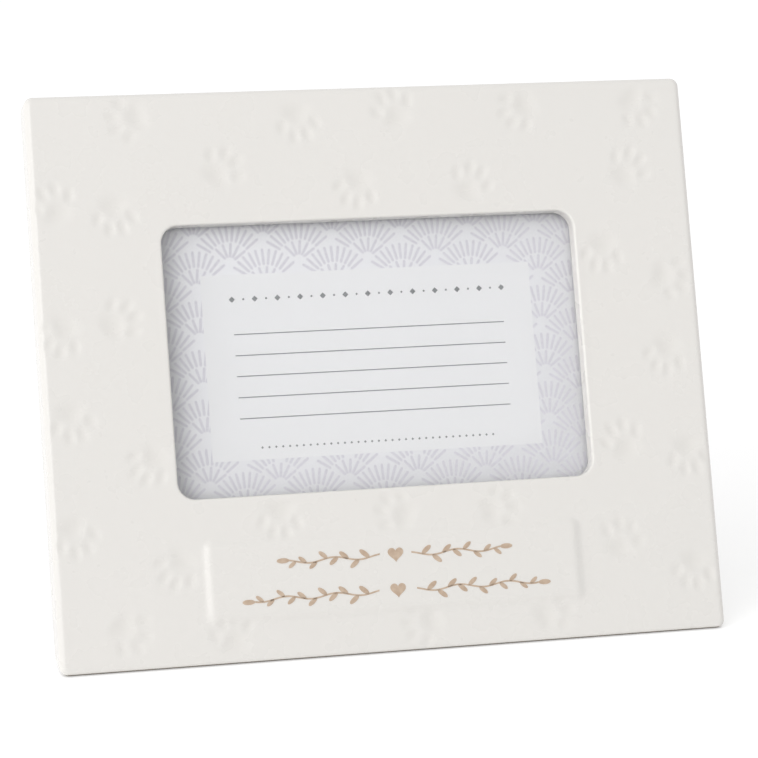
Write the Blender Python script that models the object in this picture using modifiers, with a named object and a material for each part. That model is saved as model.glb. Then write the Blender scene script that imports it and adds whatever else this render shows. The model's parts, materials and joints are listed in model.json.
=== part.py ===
"""Free-standing ceramic photo frame for a landscape 6 x 4 inch print.

The frame is one glazed ceramic body that leans back on a ground base. Its face carries paw prints
pressed into the clay and a raised plaque under the window. Glass, print card, filler card and back
board drop into a recess behind the window, and four turn buttons hold them. An easel leg on a
riveted steel hinge props the frame up.

Lengths are in millimetres and become metres where the meshes are made. The pieces are placed in the
frame of the leaning face: X to the right, Y back into the body, Z up along the face, from the middle
of the front bottom edge.
"""

import math

import bmesh
import bpy
import numpy as np
from mathutils import Matrix, Vector

MM = 0.001

# Stance
LEAN = math.radians(19.3)
LEG_SPLAY = math.radians(12.0)

# The print that the frame is made for, and how much of it the ceramic covers
PRINT_WIDTH = 152.4
PRINT_HEIGHT = 101.6
SIDE_COVER = 4.2
END_COVER = 4.65

# Ceramic body
SIDE_BORDER = 43.0
TOP_BORDER = 45.5
BOTTOM_BORDER = 55.9
EDGE_RADIUS = 2.2
BACK_EDGE_RADIUS = 1.2
LIP_THICKNESS = 5.5
WINDOW_CORNER_RADIUS = 6.0

# Raised plaque
PLAQUE_WIDTH = 128.4
PLAQUE_HEIGHT = 26.1
PLAQUE_DROP = 15.1
PLAQUE_RISE = 1.2
PLAQUE_UPSTAND = 0.2

# Paw prints pressed into the face
PAW_DEPTH = 0.6
PAD_WIDTH = 9.0
PAD_LENGTH = 7.0
PAD_DROP = 2.6
PAD_NARROWING = 0.26
PAD_SQUARENESS = 1.15
TOE_WIDTH = 3.2
TOE_LENGTH = 4.6

# Where the four toes sit round the middle of the pad, in widths and lengths of the pad, and the
# degrees that each leans outwards
TOES = (
    (-0.62, 0.57, 28.0),
    (-0.23, 1.09, 9.0),
    (0.23, 1.09, -9.0),
    (0.62, 0.57, -28.0),
)

# Each print's place on the face, and the degrees it is turned from upright. Across the face, -2 is
# its left edge, -1 and 1 are the sides of the window and 2 is its right edge. Up the face, 0 is its
# bottom edge, 1 and 2 are the bottom and the top of the window and 3 is its top edge
PAWS = (
    (-1.19, 2.81, 105.0),
    (-0.31, 2.76, 188.0),
    (0.16, 2.81, 20.0),
    (0.78, 2.79, 125.0),
    (1.62, 2.79, -140.0),
    (-0.69, 2.41, -40.0),
    (-0.05, 2.24, 160.0),
    (0.51, 2.23, -25.0),
    (1.50, 2.30, -35.0),
    (-1.35, 2.11, 184.0),
    (-1.81, 2.18, 20.0),
    (1.23, 1.84, 172.0),
    (1.78, 1.73, -110.0),
    (-1.37, 1.66, -55.0),
    (-1.82, 1.62, 150.0),
    (1.69, 1.44, 160.0),
    (-1.78, 1.31, 190.0),
    (-1.20, 1.14, 140.0),
    (1.27, 1.12, 20.0),
    (1.81, 1.06, 185.0),
    (-1.81, 0.83, 200.0),
    (-0.53, 0.86, 175.0),
    (0.03, 0.85, 60.0),
    (0.52, 0.84, -70.0),
    (-1.04, 0.60, 145.0),
    (1.19, 0.59, -20.0),
    (1.77, 0.39, 170.0),
    (-1.45, 0.24, -130.0),
    (-0.79, 0.18, 15.0),
    (0.12, 0.17, 110.0),
    (0.74, 0.18, -60.0),
)

# What lies in the recess
PRINT_CLEARANCE = 0.8
GLASS_THICKNESS = 1.8
CARD_THICKNESS = 0.4
FILLER_THICKNESS = 1.5
FILLER_CLEARANCE = 0.5
BOARD_THICKNESS = 3.0
BOARD_CLEARANCE = 0.4
SEAT_GAP = 0.3

# Turn buttons and what holds them
BUTTON_WIDTH = 9.0
BUTTON_THICKNESS = 1.0
BUTTON_LAP = 9.1
BUTTON_END_FLAT = 0.4
BUTTON_INSET = 26.6
SCREW_RADIUS = 1.5
SCREW_CLEARANCE = 0.3
SCREW_HEAD_LAP = 1.2
SCREW_HEAD_HEIGHT = 1.7
SCREW_SLOT_WIDTH = 0.8
SCREW_SLOT_DEPTH = 0.8
SCREW_TIP_GAP = 1.0
PLUG_WALL = 0.9
PLUG_LENGTH = 6.5
PLUG_INSET = 0.1
PLUG_TO_RECESS = 4.0

# Easel hinge
HINGE_DROP = 14.8
HINGE_WIDTH = 30.0
LEAF_LENGTH = 12.0
LEAF_THICKNESS = 1.0
LEAF_CORNER_RADIUS = 1.5
PIN_RADIUS = 1.0
PIN_CLEARANCE = 0.15
PIN_HEAD_LAP = 0.6
PIN_HEAD_LENGTH = 0.6
OUTER_KNUCKLE_LENGTH = 5.7
HEEL_WIDTH = 8.0
STOP_GAP = 0.3
RIVET_SIDE_MARGIN = 5.0
RIVET_END_MARGIN = 4.5
RIVET_RADIUS = 1.2
RIVET_CLEARANCE = 0.2
RIVET_HEAD_RADIUS = 2.3
RIVET_HEAD_HEIGHT = 0.9
RIVET_TAIL_RADIUS = 2.0
RIVET_TAIL_HEIGHT = 0.4

# Easel leg
LEG_THICKNESS = 2.5
LEG_TOP_MARGIN = 2.0
LEG_FOOT_WIDTH = 50.0
LEG_CORNER_RADIUS = 3.0
LEG_TOP_GAP = 0.45

# How finely round shapes are cut
ROUND_SIDES = 16
TOE_SIDES = 6
PAD_SIDES = 10
DOME_STEPS = 4
EDGE_STEPS = 4
CORNER_STEPS = 5
SMALL_CORNER_STEPS = 3
SMOOTH_ANGLE = math.radians(35.0)

# The face and its window
WINDOW_WIDTH = PRINT_WIDTH - 2 * SIDE_COVER
WINDOW_HEIGHT = PRINT_HEIGHT - 2 * END_COVER
WINDOW_TOP = BOTTOM_BORDER + WINDOW_HEIGHT
WINDOW_CENTRE = BOTTOM_BORDER + WINDOW_HEIGHT / 2
FRAME_WIDTH = WINDOW_WIDTH + 2 * SIDE_BORDER
FRAME_HEIGHT = WINDOW_TOP + TOP_BORDER
PLAQUE_TOP = BOTTOM_BORDER - PLAQUE_DROP
PLAQUE_EDGE_RADIUS = PLAQUE_RISE - PLAQUE_UPSTAND

# The recess and what lies in it, from the face back
GLASS_FRONT = LIP_THICKNESS + SEAT_GAP
CARD_FRONT = GLASS_FRONT + GLASS_THICKNESS + SEAT_GAP
FILLER_FRONT = CARD_FRONT + CARD_THICKNESS + SEAT_GAP
BOARD_FRONT = FILLER_FRONT + FILLER_THICKNESS + SEAT_GAP
BOARD_BACK = BOARD_FRONT + BOARD_THICKNESS
FRAME_THICKNESS = BOARD_BACK + SEAT_GAP
RECESS_WIDTH = PRINT_WIDTH + 2 * PRINT_CLEARANCE
RECESS_HEIGHT = PRINT_HEIGHT + 2 * PRINT_CLEARANCE
RECESS_CORNER_RADIUS = (PRINT_CLEARANCE * math.sqrt(2) - SEAT_GAP) / (math.sqrt(2) - 1)
BOARD_WIDTH = RECESS_WIDTH - 2 * BOARD_CLEARANCE
BOARD_HEIGHT = RECESS_HEIGHT - 2 * BOARD_CLEARANCE
FILLER_WIDTH = PRINT_WIDTH - 2 * FILLER_CLEARANCE
FILLER_HEIGHT = PRINT_HEIGHT - 2 * FILLER_CLEARANCE

# Turn buttons, their screws and the plugs that hold the screws
BORE_RADIUS = SCREW_RADIUS + SCREW_CLEARANCE
SCREW_HEAD_RADIUS = BORE_RADIUS + SCREW_HEAD_LAP
PLUG_RADIUS = BORE_RADIUS + PLUG_WALL
PLUG_HOLE_RADIUS = PLUG_RADIUS + SEAT_GAP
PLUG_HOLE_DEPTH = PLUG_INSET + PLUG_LENGTH + SEAT_GAP
PLUG_BACK = FRAME_THICKNESS - PLUG_INSET
BUTTON_SETBACK = PLUG_HOLE_RADIUS + PLUG_TO_RECESS
BUTTON_SWING = BUTTON_SETBACK + BOARD_CLEARANCE + BUTTON_LAP
BUTTON_SPREAD = BOARD_WIDTH / 2 - BUTTON_INSET
BUTTON_FRONT = FRAME_THICKNESS + SEAT_GAP
BUTTON_BACK = BUTTON_FRONT + BUTTON_THICKNESS
SCREW_HEAD_FRONT = BUTTON_BACK + SCREW_CLEARANCE
SCREW_TIP = PLUG_BACK - PLUG_LENGTH + SCREW_TIP_GAP

# The hinge folds flat with the leg between its leaf and the back of the frame. Its heel meets the
# fixed leaf when the leg is open
KNUCKLE_RADIUS = (LEG_THICKNESS + LEAF_THICKNESS) / 2 + SEAT_GAP
KNUCKLE_CLEARANCE = KNUCKLE_RADIUS + SEAT_GAP
PIN_BORE_RADIUS = PIN_RADIUS + PIN_CLEARANCE
PIN_HEAD_RADIUS = PIN_RADIUS + PIN_HEAD_LAP
LEAF_OFFSET = KNUCKLE_RADIUS - LEAF_THICKNESS
HINGE_HEIGHT = WINDOW_CENTRE + BOARD_HEIGHT / 2 - HINGE_DROP
HINGE_DEPTH = BOARD_BACK + SEAT_GAP + KNUCKLE_RADIUS
HINGE_LIFT = HINGE_HEIGHT * math.cos(LEAN) - HINGE_DEPTH * math.sin(LEAN)
HINGE_SETBACK = HINGE_HEIGHT * math.sin(LEAN) + HINGE_DEPTH * math.cos(LEAN)
LEG_OPENING = LEAN + LEG_SPLAY
HEEL_REACH = (LEAF_OFFSET * (1 + math.cos(LEG_OPENING)) - STOP_GAP) / math.sin(LEG_OPENING)
INNER_KNUCKLE_END = HINGE_WIDTH / 2 - OUTER_KNUCKLE_LENGTH - SEAT_GAP
RIVET_SETBACK = LEAF_LENGTH - RIVET_END_MARGIN
RIVET_HOLE_RADIUS = RIVET_RADIUS + RIVET_CLEARANCE
RIVET_POCKET_RADIUS = RIVET_TAIL_RADIUS + SEAT_GAP
RIVET_POCKET_DEPTH = RIVET_TAIL_HEIGHT + 2 * RIVET_CLEARANCE
LEG_TOP_WIDTH = HINGE_WIDTH + 2 * LEG_TOP_MARGIN
LEG_BACK = LEAF_OFFSET - SEAT_GAP
LEG_FRONT = LEG_BACK - LEG_THICKNESS
LEG_TOP = -(KNUCKLE_RADIUS + LEG_TOP_GAP)

# How far a cutter or a joined body runs past a face, so that no two faces coincide
OVERCUT = 2.0

# The points of a turned profile that lie this near its axis are joined, in metres
MERGE_DISTANCE = 0.00001

# Turns a piece modelled upright so that its top faces out of the back of the frame
FACING_BACK = (math.radians(-90.0), 0.0, 0.0)


def clear_scene():
    for old in list(bpy.data.objects):
        bpy.data.objects.remove(old, do_unlink=True)


def new_collection(name):
    collection = bpy.data.collections.new(name)
    bpy.context.scene.collection.children.link(collection)
    return collection


def new_material(name, colour, roughness, metallic=0.0):
    material = bpy.data.materials.new(name)
    material.use_nodes = True
    shader = material.node_tree.nodes["Principled BSDF"]
    shader.inputs["Base Color"].default_value = (*colour, 1.0)
    shader.inputs["Roughness"].default_value = roughness
    shader.inputs["Metallic"].default_value = metallic
    material.diffuse_color = (*colour, 1.0)
    return material


def place(name, mesh, parent, location=(0.0, 0.0, 0.0), rotation=(0.0, 0.0, 0.0)):
    """An object of this mesh, at a place in millimetres in its parent's frame."""
    piece = bpy.data.objects.new(name, mesh)
    piece.location = Vector(location) * MM
    piece.rotation_euler = rotation
    piece.parent = parent
    return piece


def add_part(name, mesh, material, parent, location=(0.0, 0.0, 0.0), rotation=(0.0, 0.0, 0.0)):
    part = place(name, mesh, parent, location, rotation)
    if not mesh.materials:
        mesh.materials.append(material)
    parts.objects.link(part)
    return part


def add_cutter(name, mesh, parent, location=(0.0, 0.0, 0.0), rotation=(0.0, 0.0, 0.0)):
    cutter = place(name, mesh, parent, location, rotation)
    cutter.hide_render = True
    cutter.display_type = "WIRE"
    cutters.objects.link(cutter)
    return cutter


def boolean(part, other, operation="DIFFERENCE"):
    modifier = part.modifiers.new(f"{operation.lower()} {other.name}", "BOOLEAN")
    modifier.operation = operation
    modifier.solver = "EXACT"
    modifier.object = other


def mesh_of(bm, name):
    """The mesh of this bmesh in metres, with its faces turned outwards and round sides shaded smooth."""
    bmesh.ops.recalc_face_normals(bm, faces=bm.faces)
    bmesh.ops.scale(bm, vec=(MM, MM, MM), verts=bm.verts)
    mesh = bpy.data.meshes.new(name)
    bm.to_mesh(mesh)
    bm.free()
    mesh.shade_smooth()
    mesh.set_sharp_from_angle(angle=SMOOTH_ANGLE)
    return mesh


def box_between(low, high):
    """A bmesh box between two corners."""
    bm = bmesh.new()
    bmesh.ops.create_cube(bm, size=1.0)
    size = [top - bottom for bottom, top in zip(low, high)]
    centre = [(top + bottom) / 2 for bottom, top in zip(low, high)]
    bmesh.ops.scale(bm, vec=size, verts=bm.verts)
    bmesh.ops.translate(bm, vec=centre, verts=bm.verts)
    return bm


def round_corners(bm, radius, segments):
    """Rounds the four edges that run through the thickness of a plate."""
    through = [edge for edge in bm.edges if len({vert.co.y for vert in edge.verts}) == 2]
    bmesh.ops.bevel(bm, geom=through, offset=radius, segments=segments, profile=0.5, affect="EDGES")


def plate(name, width, depths, heights, radius, segments=CORNER_STEPS):
    """A plate of this width between two depths and two heights, with rounded corners."""
    bm = box_between((-width / 2, depths[0], heights[0]), (width / 2, depths[1], heights[1]))
    round_corners(bm, radius, segments)
    return mesh_of(bm, name)


def rod(name, radius, start, end, axis="X"):
    """A cylinder about an axis through the origin, with a flat of its side square to the other axes."""
    bm = bmesh.new()
    bmesh.ops.create_cone(
        bm, cap_ends=True, segments=ROUND_SIDES, radius1=radius, radius2=radius, depth=end - start
    )
    bmesh.ops.rotate(bm, matrix=Matrix.Rotation(math.pi / ROUND_SIDES, 3, "Z"), verts=bm.verts)
    bmesh.ops.translate(bm, vec=(0.0, 0.0, (start + end) / 2), verts=bm.verts)
    if axis == "X":
        bmesh.ops.rotate(bm, matrix=Matrix.Rotation(math.pi / 2, 3, "Y"), verts=bm.verts)
    if axis == "Y":
        bmesh.ops.rotate(bm, matrix=Matrix.Rotation(-math.pi / 2, 3, "X"), verts=bm.verts)
    return mesh_of(bm, name)


def turned(name, profile):
    """The mesh of a profile of (radius, height) points, top to bottom, that a Screw modifier turns."""
    mesh = bpy.data.meshes.new(name)
    points = [(radius * MM, 0.0, height * MM) for radius, height in profile]
    mesh.from_pydata(points, [(i, i + 1) for i in range(len(points) - 1)], [])
    return mesh


def add_turned(name, mesh, material, parent, location, rotation=FACING_BACK):
    part = add_part(name, mesh, material, parent, location, rotation)
    screw = part.modifiers.new("turn", "SCREW")
    screw.axis = "Z"
    screw.steps = ROUND_SIDES
    screw.render_steps = ROUND_SIDES
    screw.use_merge_vertices = True
    screw.merge_threshold = MERGE_DISTANCE
    screw.use_smooth_shade = True
    return part


def dome(radius, height, base):
    """Profile points of a low dome on a level base, from its top down to its rim."""
    turns = [math.pi / 2 * step / DOME_STEPS for step in range(DOME_STEPS + 1)]
    return [(radius * math.sin(turn), base + height * math.cos(turn)) for turn in turns]


def empty(name, parent=None, location=(0.0, 0.0, 0.0), rotation=(0.0, 0.0, 0.0)):
    marker = place(name, None, parent, location, rotation)
    marker.empty_display_size = 20 * MM
    parts.objects.link(marker)
    return marker


def outline_points(width, length, sides, squareness=1.0):
    """Points round an oval; squareness over 1 swells its sides towards a rounded square."""
    points = []
    for side in range(sides):
        turn = 2 * math.pi * (side + 0.5) / sides
        across = math.copysign(abs(math.cos(turn)) ** (1 / squareness), math.cos(turn))
        along = math.copysign(abs(math.sin(turn)) ** (1 / squareness), math.sin(turn))
        points.append((width / 2 * across, length / 2 * along))
    return points


def pad_points():
    """The main pad of a paw print: an oval that narrows towards the toes."""
    points = outline_points(PAD_WIDTH, PAD_LENGTH, PAD_SIDES, PAD_SQUARENESS)
    return [(x * (1 - PAD_NARROWING * 2 * z / PAD_LENGTH), z - PAD_DROP) for x, z in points]


def toe_points(across, along, degrees):
    """A toe's outline, at a place in widths and lengths of the pad from the middle of the pad."""
    centre = Vector((across * PAD_WIDTH, along * PAD_LENGTH - PAD_DROP))
    turn = Matrix.Rotation(math.radians(degrees), 2)
    points = outline_points(TOE_WIDTH, TOE_LENGTH, TOE_SIDES)
    return [tuple(turn @ Vector(point) + centre) for point in points]


def face_place(across, up):
    """The point of the face that a print's two numbers stand for."""
    x = np.interp(
        across, (-2, -1, 1, 2), (-FRAME_WIDTH / 2, -WINDOW_WIDTH / 2, WINDOW_WIDTH / 2, FRAME_WIDTH / 2)
    )
    z = np.interp(up, (0, 1, 2, 3), (0.0, BOTTOM_BORDER, WINDOW_TOP, FRAME_HEIGHT))
    return Vector((x, z))


def add_prism(bm, points, front, back):
    """Extrudes an outline on the face from one depth to another."""
    base = bm.faces.new([bm.verts.new((x, front, z)) for x, z in points])
    grown = bmesh.ops.extrude_face_region(bm, geom=[base])
    moved = [item for item in grown["geom"] if isinstance(item, bmesh.types.BMVert)]
    bmesh.ops.translate(bm, vec=(0.0, back - front, 0.0), verts=moved)


def paw_cutter_mesh():
    """Every print on the face, each a pad and four toes, as prisms that stand through the face."""
    bm = bmesh.new()
    shapes = [pad_points()] + [toe_points(*toe) for toe in TOES]
    for across, up, degrees in PAWS:
        centre = face_place(across, up)
        turn = Matrix.Rotation(math.radians(degrees), 2)
        for shape in shapes:
            points = [tuple(turn @ Vector(point) + centre) for point in shape]
            add_prism(bm, points, -OVERCUT, PAW_DEPTH)
    return mesh_of(bm, "paw_prints")


def ceramic_blank():
    """The leaning slab before it is cut: its underside is level, so it slopes against the face."""
    bm = box_between(
        (-FRAME_WIDTH / 2, 0.0, 0.0), (FRAME_WIDTH / 2, FRAME_THICKNESS, FRAME_HEIGHT)
    )
    for vert in bm.verts:
        if vert.co.z == 0.0:
            vert.co.z = vert.co.y * math.tan(LEAN)
    weight = bm.edges.layers.float.new("bevel_weight_edge")
    for edge in bm.edges:
        at_back = all(vert.co.y == FRAME_THICKNESS for vert in edge.verts)
        edge[weight] = BACK_EDGE_RADIUS / EDGE_RADIUS if at_back else 1.0
    return mesh_of(bm, "ceramic_frame")


def plaque_mesh():
    """The plaque's front with rounded edges, on a root that fills any print under it."""
    bm = box_between(
        (-PLAQUE_WIDTH / 2, -PLAQUE_RISE, PLAQUE_TOP - PLAQUE_HEIGHT),
        (PLAQUE_WIDTH / 2, PAW_DEPTH + OVERCUT, PLAQUE_TOP),
    )
    back = max(vert.co.y for vert in bm.verts)
    shown = [edge for edge in bm.edges if any(vert.co.y < back for vert in edge.verts)]
    bmesh.ops.bevel(
        bm,
        geom=shown,
        offset=PLAQUE_EDGE_RADIUS,
        segments=SMALL_CORNER_STEPS,
        profile=0.5,
        affect="EDGES",
    )
    return mesh_of(bm, "plaque")


def add_ceramic_frame(panel):
    frame = add_part("ceramic_frame", ceramic_blank(), glaze, panel)
    bevel = frame.modifiers.new("rounded edges", "BEVEL")
    bevel.limit_method = "WEIGHT"
    bevel.width = EDGE_RADIUS * MM
    bevel.segments = EDGE_STEPS

    boolean(frame, add_cutter("paw_print_cutter", paw_cutter_mesh(), panel))

    boolean(frame, add_cutter("plaque_body", plaque_mesh(), panel), "UNION")

    window = plate(
        "window",
        WINDOW_WIDTH,
        (-OVERCUT, LIP_THICKNESS + OVERCUT),
        (BOTTOM_BORDER, WINDOW_TOP),
        WINDOW_CORNER_RADIUS,
    )
    boolean(frame, add_cutter("window_cutter", window, panel))

    recess = plate(
        "recess",
        RECESS_WIDTH,
        (LIP_THICKNESS, FRAME_THICKNESS + OVERCUT),
        (WINDOW_CENTRE - RECESS_HEIGHT / 2, WINDOW_CENTRE + RECESS_HEIGHT / 2),
        RECESS_CORNER_RADIUS,
    )
    boolean(frame, add_cutter("recess_cutter", recess, panel))

    hole = rod("plug_hole", PLUG_HOLE_RADIUS, -PLUG_HOLE_DEPTH, OVERCUT, axis="Y")
    for place_name, x, z in button_places():
        location = (x, FRAME_THICKNESS, z)
        boolean(frame, add_cutter(f"plug_hole_cutter_{place_name}", hole, panel, location))


def button_places():
    """The name and the pivot of each turn button, from the top left round the recess."""
    rise = RECESS_HEIGHT / 2 + BUTTON_SETBACK
    for row, z in (("top", WINDOW_CENTRE + rise), ("bottom", WINDOW_CENTRE - rise)):
        for side, x in (("left", -BUTTON_SPREAD), ("right", BUTTON_SPREAD)):
            yield f"{row}_{side}", x, z


def add_fill(panel):
    """The glass, the print card and the filler card, each centred behind the window."""
    sheets = (
        ("glass_pane", clear_glass, PRINT_WIDTH, PRINT_HEIGHT, GLASS_FRONT, GLASS_THICKNESS),
        ("print_card", card_paper, PRINT_WIDTH, PRINT_HEIGHT, CARD_FRONT, CARD_THICKNESS),
        ("filler_card", grey_card, FILLER_WIDTH, FILLER_HEIGHT, FILLER_FRONT, FILLER_THICKNESS),
    )
    for name, material, width, height, front, thickness in sheets:
        bm = box_between(
            (-width / 2, front, WINDOW_CENTRE - height / 2),
            (width / 2, front + thickness, WINDOW_CENTRE + height / 2),
        )
        add_part(name, mesh_of(bm, name), material, panel)


def rivet_places(height):
    spread = HINGE_WIDTH / 2 - RIVET_SIDE_MARGIN
    return [(-spread, height), (spread, height)]


def cut_rivet_seats(part, prefix, parent, height, front, thickness):
    """Drills each rivet's hole through a board and sinks a pocket for its tail in the front face."""
    hole = rod(f"{prefix}_hole", RIVET_HOLE_RADIUS, -OVERCUT, thickness + OVERCUT, axis="Y")
    pocket = rod(f"{prefix}_pocket", RIVET_POCKET_RADIUS, -OVERCUT, RIVET_POCKET_DEPTH, axis="Y")
    for number, (x, z) in enumerate(rivet_places(height), start=1):
        location = (x, front, z)
        boolean(part, add_cutter(f"{prefix}_hole_cutter_{number}", hole, parent, location))
        boolean(part, add_cutter(f"{prefix}_pocket_cutter_{number}", pocket, parent, location))


def add_back_board(panel):
    board = plate(
        "back_board",
        BOARD_WIDTH,
        (BOARD_FRONT, BOARD_BACK),
        (WINDOW_CENTRE - BOARD_HEIGHT / 2, WINDOW_CENTRE + BOARD_HEIGHT / 2),
        RECESS_CORNER_RADIUS,
    )
    part = add_part("back_board", board, flock, panel)
    height = HINGE_HEIGHT + RIVET_SETBACK
    cut_rivet_seats(part, "board_rivet", panel, height, BOARD_FRONT, BOARD_THICKNESS)


def add_buttons(panel):
    """At each pivot a plug in the ceramic, a screw in the plug and a button that turns on the screw."""
    plug = turned(
        "anchor_plug",
        (
            (BORE_RADIUS, 0.0),
            (PLUG_RADIUS, 0.0),
            (PLUG_RADIUS, -PLUG_LENGTH),
            (BORE_RADIUS, -PLUG_LENGTH),
            (BORE_RADIUS, 0.0),
        ),
    )
    screw = turned(
        "button_screw",
        dome(SCREW_HEAD_RADIUS, SCREW_HEAD_HEIGHT, 0.0)
        + [
            (SCREW_RADIUS, 0.0),
            (SCREW_RADIUS, SCREW_TIP + SCREW_RADIUS - SCREW_HEAD_FRONT),
            (0.0, SCREW_TIP - SCREW_HEAD_FRONT),
        ],
    )
    slot = mesh_of(
        box_between(
            (-SCREW_HEAD_RADIUS - OVERCUT, -SCREW_SLOT_WIDTH / 2, SCREW_HEAD_HEIGHT - SCREW_SLOT_DEPTH),
            (SCREW_HEAD_RADIUS + OVERCUT, SCREW_SLOT_WIDTH / 2, SCREW_HEAD_HEIGHT + OVERCUT),
        ),
        "screw_slot",
    )
    button = plate(
        "turn_button",
        BUTTON_WIDTH,
        (0.0, BUTTON_THICKNESS),
        (-BUTTON_SWING, BUTTON_WIDTH / 2),
        (BUTTON_WIDTH - BUTTON_END_FLAT) / 2,
    )
    pivot_hole = rod("pivot_hole", BORE_RADIUS, -OVERCUT, BUTTON_THICKNESS + OVERCUT, axis="Y")
    for place_name, x, z in button_places():
        towards_board = (0.0, 0.0 if z > WINDOW_CENTRE else math.pi, 0.0)
        add_turned(f"anchor_plug_{place_name}", plug, nylon, panel, (x, PLUG_BACK, z))
        head = (x, SCREW_HEAD_FRONT, z)
        fitted = add_turned(f"button_screw_{place_name}", screw, steel, panel, head)
        slot_cutter = add_cutter(f"slot_cutter_{place_name}", slot, panel, head, FACING_BACK)
        boolean(fitted, slot_cutter)
        pivot = (x, BUTTON_FRONT, z)
        turning = add_part(
            f"turn_button_{place_name}", button, steel, panel, pivot, towards_board
        )
        hole_cutter = add_cutter(f"pivot_hole_cutter_{place_name}", pivot_hole, panel, pivot)
        boolean(turning, hole_cutter)


def knuckles(name, spans):
    """Knuckle barrels along the hinge axis, one for each span."""
    bm = bmesh.new()
    for start, end in spans:
        barrel = rod("barrel", KNUCKLE_RADIUS, start, end)
        bm.from_mesh(barrel)
        bpy.data.meshes.remove(barrel)
    mesh = bpy.data.meshes.new(name)
    bm.to_mesh(mesh)
    bm.free()
    return mesh


def cut_leaf(leaf, prefix, parent, height):
    """Bores a leaf for the hinge pin and drills it for its two rivets."""
    bore = rod(
        f"{prefix}_bore", PIN_BORE_RADIUS, -HINGE_WIDTH / 2 - OVERCUT, HINGE_WIDTH / 2 + OVERCUT
    )
    boolean(leaf, add_cutter(f"{prefix}_bore_cutter", bore, parent))
    reach = KNUCKLE_RADIUS + OVERCUT
    hole = rod(f"{prefix}_rivet_hole", RIVET_HOLE_RADIUS, -reach, reach, axis="Y")
    for number, (x, z) in enumerate(rivet_places(height), start=1):
        cutter = add_cutter(f"{prefix}_rivet_hole_cutter_{number}", hole, parent, (x, 0.0, z))
        boolean(leaf, cutter)


def add_fixed_leaf(axis):
    """The leaf on the back board: it rises from the outer knuckles and clears the moving ones."""
    half = HINGE_WIDTH / 2
    mesh = plate(
        "hinge_leaf_fixed",
        HINGE_WIDTH,
        (-KNUCKLE_RADIUS, -LEAF_OFFSET),
        (0.0, LEAF_LENGTH),
        LEAF_CORNER_RADIUS,
        SMALL_CORNER_STEPS,
    )
    leaf = add_part("hinge_leaf_fixed", mesh, steel, axis)
    inner = half - OUTER_KNUCKLE_LENGTH
    notch = box_between(
        (-inner, -KNUCKLE_RADIUS - OVERCUT, -OVERCUT), (inner, 0.0, KNUCKLE_CLEARANCE)
    )
    boolean(leaf, add_cutter("fixed_notch_cutter", mesh_of(notch, "fixed_notch"), axis))
    barrels = knuckles("fixed_knuckles", ((-half, -inner), (inner, half)))
    boolean(leaf, add_cutter("fixed_knuckle_body", barrels, axis), "UNION")
    cut_leaf(leaf, "fixed_leaf", axis, RIVET_SETBACK)


def add_moving_leaf(axis, leg_axis):
    """The leaf on the leg: its heel runs on past the pin and lands on the fixed leaf as the stop."""
    half = HINGE_WIDTH / 2
    mesh = plate(
        "hinge_leaf_moving",
        HINGE_WIDTH,
        (LEAF_OFFSET, KNUCKLE_RADIUS),
        (-LEAF_LENGTH, HEEL_REACH),
        LEAF_CORNER_RADIUS,
        SMALL_CORNER_STEPS,
    )
    leaf = add_part("hinge_leaf_moving", mesh, steel, leg_axis)
    for side, sign in (("left", -1), ("right", 1)):
        ends = (
            ("knuckle", INNER_KNUCKLE_END, half + OVERCUT, -KNUCKLE_CLEARANCE),
            ("heel", HEEL_WIDTH / 2, half + OVERCUT, 0.0),
        )
        for kind, inside, outside, bottom in ends:
            low, high = sorted((sign * inside, sign * outside))
            notch = box_between(
                (low, 0.0, bottom), (high, KNUCKLE_RADIUS + OVERCUT, HEEL_REACH + OVERCUT)
            )
            cutter_mesh = mesh_of(notch, f"{kind}_notch_{side}")
            boolean(leaf, add_cutter(f"{kind}_notch_cutter_{side}", cutter_mesh, leg_axis))
    spans = (
        (-INNER_KNUCKLE_END, -HEEL_WIDTH / 2),
        (HEEL_WIDTH / 2, INNER_KNUCKLE_END),
    )
    barrels = knuckles("moving_knuckles", spans)
    boolean(leaf, add_cutter("moving_knuckle_body", barrels, leg_axis), "UNION")
    cut_leaf(leaf, "moving_leaf", leg_axis, -RIVET_SETBACK)


def add_hinge_pin(axis):
    end = HINGE_WIDTH / 2 + PIN_CLEARANCE
    half = dome(PIN_HEAD_RADIUS, PIN_HEAD_LENGTH, end) + [(PIN_RADIUS, end)]
    profile = half + [(radius, -height) for radius, height in reversed(half)]
    mesh = turned("hinge_pin", profile)
    along_hinge = (0.0, math.radians(90.0), 0.0)
    add_turned("hinge_pin", mesh, steel, axis, (0.0, 0.0, 0.0), along_hinge)


def add_rivets(prefix, parent, height, leaf_back, board_front):
    """Two rivets whose heads bear on a leaf and whose tails are set in a board's pockets."""
    head_base = leaf_back + RIVET_CLEARANCE
    tail_back = board_front + RIVET_POCKET_DEPTH - RIVET_CLEARANCE - head_base
    mesh = turned(
        prefix,
        dome(RIVET_HEAD_RADIUS, RIVET_HEAD_HEIGHT, 0.0)
        + [
            (RIVET_RADIUS, 0.0),
            (RIVET_RADIUS, tail_back),
            (RIVET_TAIL_RADIUS, tail_back),
            (RIVET_TAIL_RADIUS, tail_back - RIVET_TAIL_HEIGHT),
            (0.0, tail_back - RIVET_TAIL_HEIGHT),
        ],
    )
    for side, (x, z) in zip(("left", "right"), rivet_places(height)):
        add_turned(f"{prefix}_{side}", mesh, steel, parent, (x, head_base, z))


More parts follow.
